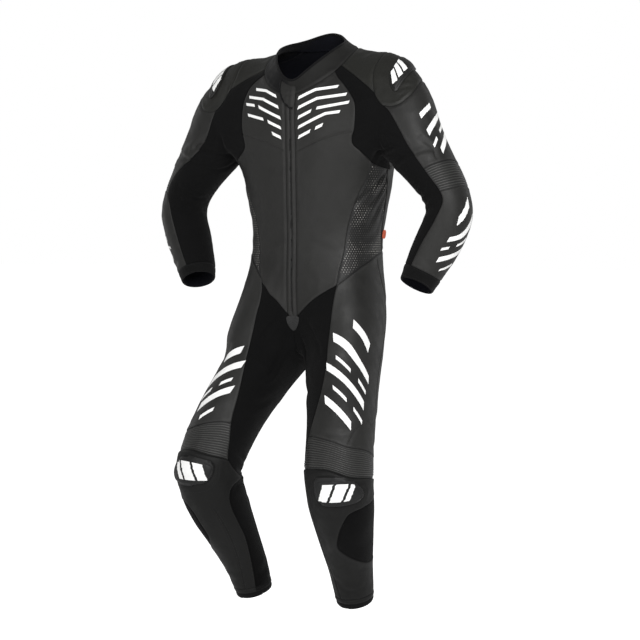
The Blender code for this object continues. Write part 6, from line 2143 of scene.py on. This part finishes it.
def laid_outline(spec, tag):
    k = spec["per_degree"]
    turn = spec.get("turn", 0) if tag == "_r" else 0
    shift = spec.get("shift", 0) if tag == "_r" else 0
    return k, [(a + shift, (b + turn) * k) for a, b in spec["left"]]


def rounded(poly, times=2):
    """Corner-cut outline."""
    P = [np.array(p, float) for p in poly]
    for _ in range(times):
        out = []
        for a, b in zip(P, P[1:] + P[:1]):
            out += [a * 0.78 + b * 0.22, a * 0.22 + b * 0.78]
        P = out
    return [tuple(p) for p in P]


def dome(name, part, tag, h, profile, mats, round_times=2, rows=(), slot=None):
    """A moulded or sewn piece on the panels; profile(edge distance, flat points) -> top height."""
    spec = LAID[part]
    k, poly = laid_outline(spec, tag)
    poly = rounded(poly, round_times) if round_times else poly
    flat, faces = fill_outline(poly, h, rows)
    P, N = place_flat(spec["where"], flat, k, tag)
    edge, _ = outline_distance(flat, poly)
    low = np.full(len(P), LAY_LOW) + spec["lift"] * np.clip((flat[:, 1] - flat[:, 1].min()) / np.ptp(flat[:, 1]), 0, 1)
    # the underside stays straight over hollows: smoothed, and never below the panel
    for _ in range(12):
        near = np.zeros(len(P))
        cnt = np.zeros(len(P))
        B = P + N * low[:, None]
        for f in faces:
            for a, b in zip(f, f[1:] + f[:1]):
                near[a] += (B[b] - P[a]) @ N[a]
                cnt[a] += 1
        low = np.maximum(low, np.where(cnt > 0, near / np.maximum(cnt, 1), low))
    high = low + profile(edge, flat)
    obj = slab(name, flat, faces, P, N, low, high, mats, uv=flat, sharp=32.0)
    return obj, (flat, P, N, low, high, k)


LAY_LOW = 0.35


def slider_top(edge, flat):
    t = np.clip(edge / 15.0, 0, 1)
    top = 4.2 + 2.2 * np.clip(edge / 2.2, 0, 1) ** 0.6 + 3.6 * np.sin(t * math.pi / 2)
    top -= 0.8 * np.exp(-((edge - 5.2) / 0.8) ** 2)          # moulded line inside the rim
    return top


def cap_top(edge, flat):
    t = np.clip(edge / 4.0, 0, 1)
    top = 2.4 + 1.6 * np.sin(t * math.pi / 2)
    inner = np.clip((edge - 5.2) / 1.2, 0, 1)
    top -= 0.9 * np.clip((edge - 4.2) / 1.0, 0, 1) * (1 - inner)   # groove inside the rim
    top += 1.5 * np.sin(np.clip((edge - 5.4) / 12.0, 0, 1) * math.pi / 2) - 0.2 * inner
    return top


HARD = {}
for tag in ("_l", "_r"):
    HARD["knee_slider" + tag] = dome("puck_knee" + tag, "knee_slider", tag, 3.0, slider_top, [MATS["slider"]], rows=(1.1, 2.4, 4.3, 5.2, 6.1, 10.0))
    HARD["shoulder_cap" + tag] = dome("shell_shoulder" + tag, "shoulder_cap", tag, 3.2, cap_top, [MATS["cap"]], rows=(1.8, 4.2, 5.4, 7.0))
for key, (obj, _) in HARD.items():
    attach(obj, "root")
    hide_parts(key)

# ------------------------------------------------------------------ plain geometric graphics
def slanted(a, b, length, lean, width):
    """Parallelogram bar: starts at (a, b), runs `length` along and `lean` round, `width` round."""
    return [(a, b), (a + length, b + lean), (a + length, b + lean + width), (a, b + width)]


graphics = []


def graphic(name, *args, **kw):
    obj = applique(name, *args, **kw)
    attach(obj, "root")
    graphics.append(obj)
    return obj


w = 6.4
up = (0.35, 1.0)
left_chest = [stroke([(24, -122), (66, -103), (116, -96)], w, up), stroke([(24, -145), (72, -124), (139, -115)], w, up),
              stroke([(24, -168), (58, -153)], w, up), stroke([(72, -147), (147, -134)], w, up),
              stroke([(24, -191), (94, -160), (128, -156)], w, up), stroke([(24, -214), (56, -200)], w, up),
              stroke([(70, -194), (88, -186)], w, up)]
down = (-0.35, 1.0)
right_chest = [stroke([(-37, -116), (-72, -101), (-108, -96)], w, down), stroke([(-30, -142), (-78, -121), (-126, -114)], w, down),
               stroke([(-24, -168), (-90, -139)], w, down), stroke([(-104, -135), (-133, -131)], w, down),
               stroke([(-24, -191), (-60, -175)], w, down), stroke([(-74, -169), (-124, -157)], w, down),
               stroke([(-24, -214), (-48, -203)], w, down)]
GOES_WITH["front_l"] = [graphic("stripes_chest_l", "front", "_l", 1, left_chest, h=3.2)]
GOES_WITH["front_r"] = [graphic("stripes_chest_r", "front", "_r", 1, right_chest, h=3.2)]

k = 1.05
arm_upper = [stroke([(58, 4 * k), (86, 34 * k)], 12, (1, 0)), stroke([(82, -22 * k), (134, 34 * k)], 12, (1, 0)),
             stroke([(116, -20 * k), (138, 4 * k)], 6, (1, 0)), stroke([(152, 19 * k), (168, 36 * k)], 6, (1, 0)),
             stroke([(144, -20 * k), (186, 24 * k)], 12, (1, 0))]
arm_lower = [stroke([(298, 8 * k), (326, 46 * k)], 12, (1, 0)), stroke([(320, -16 * k), (370, 50 * k)], 12, (1, 0)),
             stroke([(352, -10 * k), (374, 20 * k)], 6, (1, 0)), stroke([(388, 38 * k), (400, 54 * k)], 6, (1, 0)),
             stroke([(380, -14 * k), (426, 48 * k)], 12, (1, 0)), stroke([(420, -8 * k), (446, 26 * k)], 6, (1, 0))]
for tag in ("_l", "_r"):
    GOES_WITH["sleeve" + tag] = [graphic("blocks_upper_arm" + tag, "arm", tag, k, arm_upper, h=3.2)]
    GOES_WITH["forearm" + tag] = [graphic("blocks_forearm" + tag, "arm", tag, k, arm_lower, h=3.2)]

k = 1.4
thigh_left = [stroke([(-66, 44 * k), (-30, 17 * k)], 15, (1, 0)), stroke([(-36, 66 * k), (44, 6 * k)], 15, (1, 0)),
              stroke([(10, 64 * k), (40, 42 * k)], 7, (1, 0)), stroke([(58, 28 * k), (80, 12 * k)], 7, (1, 0)),
              stroke([(30, 78 * k), (112, 16 * k)], 15, (1, 0)),
              stroke([(84, 70 * k), (112, 49 * k)], 7, (1, 0)), stroke([(128, 37 * k), (152, 19 * k)], 7, (1, 0)),
              stroke([(110, 84 * k), (168, 40 * k)], 15, (1, 0))]
thigh_right = [stroke([(-8, 80 * k), (24, 56 * k)], 15, (1, 0)), stroke([(22, 94 * k), (86, 46 * k)], 15, (1, 0)),
               stroke([(66, 92 * k), (86, 77 * k)], 7, (1, 0)), stroke([(102, 65 * k), (124, 48 * k)], 7, (1, 0)),
               stroke([(86, 102 * k), (146, 56 * k)], 15, (1, 0)), stroke([(144, 92 * k), (170, 72 * k)], 7, (1, 0))]
GOES_WITH["thigh_l"] = [graphic("bars_thigh_l", "leg", "_l", k, thigh_left, h=3.4)]
GOES_WITH["thigh_r"] = [graphic("bars_thigh_r", "leg", "_r", k, thigh_right, h=3.4)]


def tree_of(obj):
    P = [v.co * 1000 for v in obj.data.vertices]
    return BVHTree.FromPolygons(P, [tuple(p.vertices) for p in obj.data.polygons])


# bars on the sliders and caps, printed on the plastic
for tag in ("_l", "_r"):
    spec = LAID["knee_slider"]
    k, poly = laid_outline(spec, tag)
    turn = spec["turn"] if tag == "_r" else 0
    shift = spec["shift"] if tag == "_r" else 0
    o = np.array([280.5 + shift, (60 + turn) * k])
    def at(x, y):            # x across the knee (outward +), y up the leg
        return (o[0] - y, o[1] - x)
    shapes = [[at(-54, -9), at(-32, -9.5), at(-12, 9.5), at(-38, 9)],
              [at(-25, -9.5), at(3, -9.5), at(24, 9), at(-5, 9.5)],
              [at(10, -9.5), at(24, -9.3), at(40, 6), at(31, 8.5)]]
    obj = graphic("bars_knee" + tag, "leg", tag, k, shapes, thick=0.45, h=2.2, tree=tree_of(HARD["knee_slider" + tag][0]), gap=0.25)
    spec = LAID["shoulder_cap"]
    k, poly = laid_outline(spec, tag)
    bars = [[(-47, 84), (-14, 91), (-20, 71), (-55, 66)], [(-60, 60), (-26, 64), (-34, 44), (-68, 40)],
            [(-71, 33), (-39, 37), (-46, 17), (-77, 13)]]
    obj = graphic("wedges_shoulder" + tag, "arm", tag, k, bars, thick=0.3, h=3.0, tree=tree_of(HARD["shoulder_cap" + tag][0]), gap=0.1)

# ------------------------------------------------------------------ flap, gusset, tab
flap, F = dome("cloth_zip_flap", "zip_flap", "_l", 2.6, lambda e, f: (1.2 + 0.9 * np.clip(e / 3.0, 0, 1)) * np.clip((15.75 - f[:, 1]) / 9.0, 0.18, 1), [MATS["body"]], rows=(3.0,))
gus, G = dome("cloth_gusset", "gusset", "_l", 2.2, lambda e, f: 0.9 + 0.7 * np.clip(e / 2.5, 0, 1), [MATS["grey"]], rows=(2.2,))
tab, T = dome("cloth_side_tab", "side_tab", "_l", 1.6, lambda e, f: 0.9 + 0.25 * np.clip(e / 1.5, 0, 1), [MATS["webbing"]], round_times=1)
for obj, node, slot in ((flap, "zip_flap", "leather"), (gus, "gusset", "grey_cloth"), (tab, "side_tab", "webbing")):
    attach(obj, "root")
    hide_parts(node)


def flat_size(data, k):
    flat = data[0]
    return np.ptp(flat[:, 0]) * 0.001, np.ptp(flat[:, 1]) * 0.001


def open_area(obj):
    """Half the surface of a closed thin piece, in m2."""
    return sum(p.area for p in obj.data.polygons) / 2


SMALL = []
for obj, data, node in ((flap, F, "zip_flap"), (gus, G, "gusset"), (tab, T, "side_tab")):
    w1, l1 = flat_size(data, 1)
    SMALL.append((obj, max(w1, 0.010), max(l1, 0.010), open_area(obj), node))


def tube(name, run, normals, sides, wide, high, mat, closed=False, lift_by=0.0):
    """Soft binding: an oval section swept along a run of surface points."""
    P = np.array(run)
    T = np.roll(P, -1, 0) - np.roll(P, 1, 0)
    if not closed:
        T[0], T[-1] = P[1] - P[0], P[-1] - P[-2]
    T /= np.maximum(np.linalg.norm(T, axis=1)[:, None], 1e-9)
    pts, faces = [], []
    m = len(P)
    for p, t, n in zip(P, T, normals):
        n = n - t * (t @ n)
        n /= max(np.linalg.norm(n), 1e-9)
        b = np.cross(t, n)
        for j in range(sides):
            a = 2 * math.pi * j / sides
            pts.append(p + n * (lift_by + high * math.sin(a)) + b * (wide / 2 * math.cos(a)))
    last = m if closed else m - 1
    for i in range(last):
        for j in range(sides):
            a, b = i * sides + j, i * sides + (j + 1) % sides
            c, d = ((i + 1) % m) * sides + j, ((i + 1) % m) * sides + (j + 1) % sides
            faces.append([a, b, d, c])
    if not closed:
        faces.append([j for j in range(sides)][::-1])
        faces.append([(m - 1) * sides + j for j in range(sides)])
    obj = object_from(name, pts, faces, [MATS[mat]], sharp=60.0)
    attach(obj, "root")
    return obj


# black binding round the free edges of the flap
spec = LAID["zip_flap"]
k = spec["per_degree"]
edge_rows = [(a, b * k) for a, b in spec["left"][:6]]
line = []
for (a1, b1), (a2, b2) in zip(edge_rows[:-1], edge_rows[1:]):
    n = max(1, int(math.hypot(a2 - a1, b2 - b1) / 2.5))
    line += [(a1 + (a2 - a1) * i / n, b1 + (b2 - b1) * i / n) for i in range(n)]
line.append(edge_rows[-1])
ft = tree_of(flap)
P, Nn = place_flat("torso", smooth_run(line, False, 3), k, "_l")
bind = tube("binding_flap", P, Nn, 8, 5.6, 1.7, "neoprene", lift_by=1.6)
GOES_WITH["zip_flap"] = [bind]

# ------------------------------------------------------------------ collar rim binding
def rim_band(name, title, depth, thick, mat, pick=lambda p: True):
    """Folded band over the free rim of a panel."""
    obj = PIECES[title]
    k = INDEX[title]
    E = BORDER[title]
    free = {tuple(sorted(e)) for e in lone[:, :2].tolist()}
    rim = np.array([e for e in E.tolist() if tuple(sorted(e)) in free])
    objs = []
    for number, loop in enumerate(loops_of(rim)):
        if len(loop) < 10:
            continue
        nxt = {a: b for a, b in rim.tolist()}
        closed = nxt.get(loop[-1]) == loop[0]
        P = smooth_run(V[loop] + N[loop] * (lift[loop] * 0.7)[:, None], closed, 2)
        n = N[loop]
        T = np.roll(P, -1, 0) - np.roll(P, 1, 0)
        if not closed:
            T[0], T[-1] = P[1] - P[0], P[-1] - P[-2]
        T /= np.maximum(np.linalg.norm(T, axis=1)[:, None], 1e-9)
        M = np.cross(n, T)
        M /= np.maximum(np.linalg.norm(M, axis=1)[:, None], 1e-9)
        wall = THICK[kind(title)]
        half = wall / 2 + thick
        section = [(depth, -half * 0.86), (depth * 0.45, -half), (0.4, -half), (-0.8, -half * 0.72), (-1.2, 0.0), (-0.8, half * 0.72),
                   (0.4, half), (depth * 0.45, half), (depth, half * 0.86), (depth, 0.0)]
        pts, faces = [], []
        for p, m_, q in zip(P, M, n):
            c = p - q * wall / 2
            for s, h in section:
                pts.append(c + m_ * s + q * h)
        c = len(section)
        r = len(P)
        for i in range(r if closed else r - 1):
            for j in range(c):
                a, b = i * c + j, i * c + (j + 1) % c
                d, e = ((i + 1) % r) * c + (j + 1) % c, ((i + 1) % r) * c + j
                faces.append([a, b, d, e])
        if not closed:
            faces.append([j for j in range(c)][::-1])
            faces.append([(r - 1) * c + j for j in range(c)])
        o = object_from(name + ("_%d" % number if number else ""), pts, faces, [MATS[mat]], sharp=50.0)
        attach(o, "root")
        objs.append(o)
    return objs


GOES_WITH["collar"] = rim_band("binding_collar", "collar", 4.6, 0.7, "neoprene")

# ------------------------------------------------------------------ zip teeth
pts, faces = [], []
run = dense(list(zip_line), 2.0)
P, Nn = surface_run(run)
step = np.linalg.norm(np.diff(P, axis=0), axis=1)
at = np.concatenate([[0], np.cumsum(step)])
for i in range(int(at[-1] / 1.7)):
    s = (i + 0.5) * 1.7
    j = min(int(np.searchsorted(at, s)) - 1, len(step) - 1)
    if j < 0:
        continue
    u = (s - at[j]) / step[j]
    p = P[j] + (P[j + 1] - P[j]) * u
    if p[2] > -146 or p[2] < -628:
        continue
    n = Nn[j]
    t = (P[j + 1] - P[j]) / step[j]
    b = np.cross(t, n)
    side = 1 if i % 2 else -1
    c = p + b * side * 0.75 + n * 0.55
    m = len(pts)
    for a1, b1, c1 in ((-1, -1, -1), (1, -1, -1), (1, 1, -1), (-1, 1, -1), (-0.7, -0.75, 1), (0.7, -0.75, 1), (0.7, 0.75, 1), (-0.7, 0.75, 1)):
        pts.append(c + b * a1 * 1.5 + t * b1 * 0.62 + n * c1 * 0.6)
    for f in ((0, 3, 2, 1), (4, 5, 6, 7), (0, 1, 5, 4), (1, 2, 6, 5), (2, 3, 7, 6), (3, 0, 4, 7)):
        faces.append([m + x for x in f])
teeth = object_from("zip_teeth", pts, faces, [MATS["zip"]], sharp=20.0)
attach(teeth, "root")

# ------------------------------------------------------------------ stitching
stores = {}
ROWS = {"leather": (3.0,), "side": (3.0,), "collar": (3.4,), "rib": (), "stretch": (), "cuff": (3.2,)}
for k_, title in enumerate(NAMES):
    offs = ROWS[kind(title)]
    if stem(title) in ("thigh", "seat", "back", "front", "shin"):
        offs = (2.8, 6.2) if stem(title) in ("seat", "back") else (3.0,)
    if stem(title) == "zip":
        offs = (2.4,)
    if not offs:
        continue
    group = "upper" if (V[BORDER[title][:, 0], 2].mean() > -480) else "lower"
    store = stores.setdefault(group, [[], []])
    seam_stitches(k_, BORDER[title], store, offs)
store = stores["upper"]
for title, line in INNER.items():
    s = stores["upper"] if line[:, 2].mean() > -480 else stores["lower"]
    T = np.gradient(line, axis=0)
    T /= np.linalg.norm(T, axis=1)[:, None]
    Nl = np.array([form.normal(p) for p in line])
    M = np.cross(Nl, T)
    for off in (-3.0, 3.0):
        P, n = surface_run(line + M * off)
        stitch_row(P, n, store=s)
# rings on the shoulder cups and knee cups
for part, ring, where in (("shoulder_cap", (8.8, 15.3), "upper"), ("knee_slider", (10.5,), "lower")):
    for tag in ("_l", "_r"):
        spec = LAID[part]
        k, poly = laid_outline(spec, tag)
        A = np.array(rounded(poly, 2))
        T = np.roll(A, -1, 0) - np.roll(A, 1, 0)
        T /= np.linalg.norm(T, axis=1)[:, None]
        area = 0.5 * (A[:, 0] * np.roll(A[:, 1], -1) - np.roll(A[:, 0], -1) * A[:, 1]).sum()
        M = np.stack([T[:, 1], -T[:, 0]], 1) * (1 if area > 0 else -1)
        for r in ring:
            R = A + M * r
            d, _ = outline_distance(R, A)
            run = []
            title = ("cup" if part == "shoulder_cap" else "shin") + tag
            def flush(run):
                if len(run) > 3:
                    P = np.array([q[0] for q in run])
                    Nn = np.array([q[1] for q in run])
                    stitch_row(P, Nn, store=stores[where])
            for (a, b), dd in zip(list(R) + [R[0]], list(d) + [d[0]]):
                q = soft_at(spec["where"], a, b / k, tag)
                n = form.normal(q)
                p, pn, f = drop(q, n)
                on = dd > r * 0.9 and f is not None and GROUND_NAME[f] == INDEX[title]
                if on and (not run or np.linalg.norm(p - run[-1][0]) < 14):
                    run.append((p, pn))
                else:
                    flush(run)
                    run = [(p, pn)] if on else []
            flush(run)
for group, (pts, faces) in stores.items():
    obj = object_from("stitches_" + group, pts, faces, [MATS["thread"]], sharp=80.0)
    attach(obj, "root")
    print("STITCHES", group, len(faces) // 8)


# ------------------------------------------------------------------ panels attached, sheet sizes printed
for title, obj, w, l, area in SHEETS:
    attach(obj, "root")
    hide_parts(title)
    SLOT[kind(title)]
    # the cut's bounding rectangle: never smaller than the panel itself
    grow = max(1.0, math.sqrt(area / (w * l)) if w * l else 1.0)
    w, l = w * grow, l * grow
    if area < 0.32 * w * l:
        shrink = math.sqrt(area / (0.32 * w * l))
        w, l = w * shrink, l * shrink
    round(min(area, w * l), 5)
    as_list(GOES_WITH.get(title, []))
    print("SHEET %s %.0f x %.0f mm, %.4f m2" % (title, w * 1000, l * 1000, area))

for obj, w, l, area, node in SMALL:
    w, l = w * 1.02, l * 1.02
    round(min(area, w * l), 6)
    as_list(GOES_WITH.get(node, []))
    print("SHEET %s %.0f x %.0f mm, %.5f m2" % (node, w * 1000, l * 1000, min(area, w * l)))
total = 0
for obj in bpy.data.objects:
    if obj.type == "MESH" and not obj.hide_render:
        obj.data.calc_loop_triangles()
        total += len(obj.data.loop_triangles)
        if len(obj.data.loop_triangles) > 60000:
            print("TRIS", obj.name, len(obj.data.loop_triangles))
print("TRIS all", total)

# ------------------------------------------------------------------ floor, light, camera
def stage_material(name, colour, glow, seen):
    mat = bpy.data.materials.new(name)
    mat.use_nodes = True
    tree = mat.node_tree
    shader = next(n for n in tree.nodes if n.type == "BSDF_PRINCIPLED")
    shader.inputs["Base Color"].default_value = (*colour, 1)
    shader.inputs["Roughness"].default_value = 0.9
    shader.inputs["Specular IOR Level"].default_value = 0.1
    shader.inputs["Emission Color"].default_value = (1, 1, 1, 1)
    # the bare floor reads as white paper, while it lights the suit from below only a little
    path = tree.nodes.new("ShaderNodeLightPath")
    glow_node = tree.nodes.new("ShaderNodeMapRange")
    glow_node.inputs["To Min"].default_value = glow
    glow_node.inputs["To Max"].default_value = seen
    tree.links.new(path.outputs["Is Camera Ray"], glow_node.inputs["Value"])
    tree.links.new(glow_node.outputs["Result"], shader.inputs["Emission Strength"])
    return mat


mesh = bpy.data.meshes.new("floor")
r = 40.0
z = -1.372
mesh.from_pydata([(-r, -r, z), (r, -r, z), (r, r, z), (-r, r, z)], [], [(0, 1, 2, 3)])
mesh.materials.append(stage_material("pale floor", (0.82, 0.82, 0.82), 0.22, 0.80))
floor = bpy.data.objects.new("floor", mesh)
bpy.context.scene.collection.objects.link(floor)
floor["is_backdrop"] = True

scene = bpy.context.scene
scene.view_settings.view_transform = "Standard"
scene.view_settings.look = "None"
scene.view_settings.exposure = 0.0
scene.view_settings.gamma = 1.0
world = bpy.data.worlds.new("studio")
scene.world = world
world.use_nodes = True
tree = world.node_tree
tree.nodes.clear()
out = tree.nodes.new("ShaderNodeOutputWorld")
seen = tree.nodes.new("ShaderNodeBackground")
seen.inputs["Color"].default_value = (1, 1, 1, 1)
seen.inputs["Strength"].default_value = 1.0
lit = tree.nodes.new("ShaderNodeBackground")
lit.inputs["Color"].default_value = (1, 1, 1, 1)
lit.inputs["Strength"].default_value = 0.34
path = tree.nodes.new("ShaderNodeLightPath")
mix = tree.nodes.new("ShaderNodeMixShader")
tree.links.new(path.outputs["Is Camera Ray"], mix.inputs[0])
tree.links.new(lit.outputs[0], mix.inputs[1])
tree.links.new(seen.outputs[0], mix.inputs[2])
tree.links.new(mix.outputs[0], out.inputs["Surface"])


def soft_light(name, place, aim, size, power):
    data = bpy.data.lights.new(name, "AREA")
    data.shape = "RECTANGLE"
    data.size, data.size_y = size
    data.energy = power
    obj = bpy.data.objects.new(name, data)
    obj.location = place
    obj.rotation_euler = (Vector(aim) - Vector(place)).to_track_quat("-Z", "Y").to_euler()
    scene.collection.objects.link(obj)


az, el, far, look_z = math.radians(30.0), math.radians(2.5), 5.0, -0.651
right = Vector((math.cos(az), math.sin(az), 0))
back = Vector((math.sin(az) * math.cos(el), -math.cos(az) * math.cos(el), math.sin(el)))
front = Vector((back.x, back.y, 0)).normalized()
mid = Vector((0, 0, -0.6))
soft_light("key", mid + front * 3.1 + right * 0.9 + Vector((0, 0, 1.6)), mid, (2.2, 2.0), 100)
soft_light("fill", mid + front * 3.0 - right * 2.2 + Vector((0, 0, 0.6)), mid, (2.0, 2.6), 36)
soft_light("rim right", mid - front * 1.6 + right * 2.4 + Vector((0, 0, 0.9)), mid, (1.2, 2.6), 9)
soft_light("rim left", mid - front * 1.6 - right * 2.4 + Vector((0, 0, 0.9)), mid, (1.2, 2.6), 9)

cam = bpy.data.cameras.new("camera")
camera = bpy.data.objects.new("camera", cam)
scene.collection.objects.link(camera)
up = back.cross(right)
from mathutils import Matrix
aim = Vector((0, 0, look_z)) + right * 0.00364
camera.matrix_world = Matrix((right, up, back)).transposed().to_4x4()
camera.location = aim + back * far
cam.sensor_width = 36.0
cam.lens = 2057.9 / 640 * 36.0
cam.clip_end = 200.0
scene.camera = camera

low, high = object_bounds()
{"cad": [CAD_LOW, CAD_HIGH], "visual": [list(low), list(high)]}
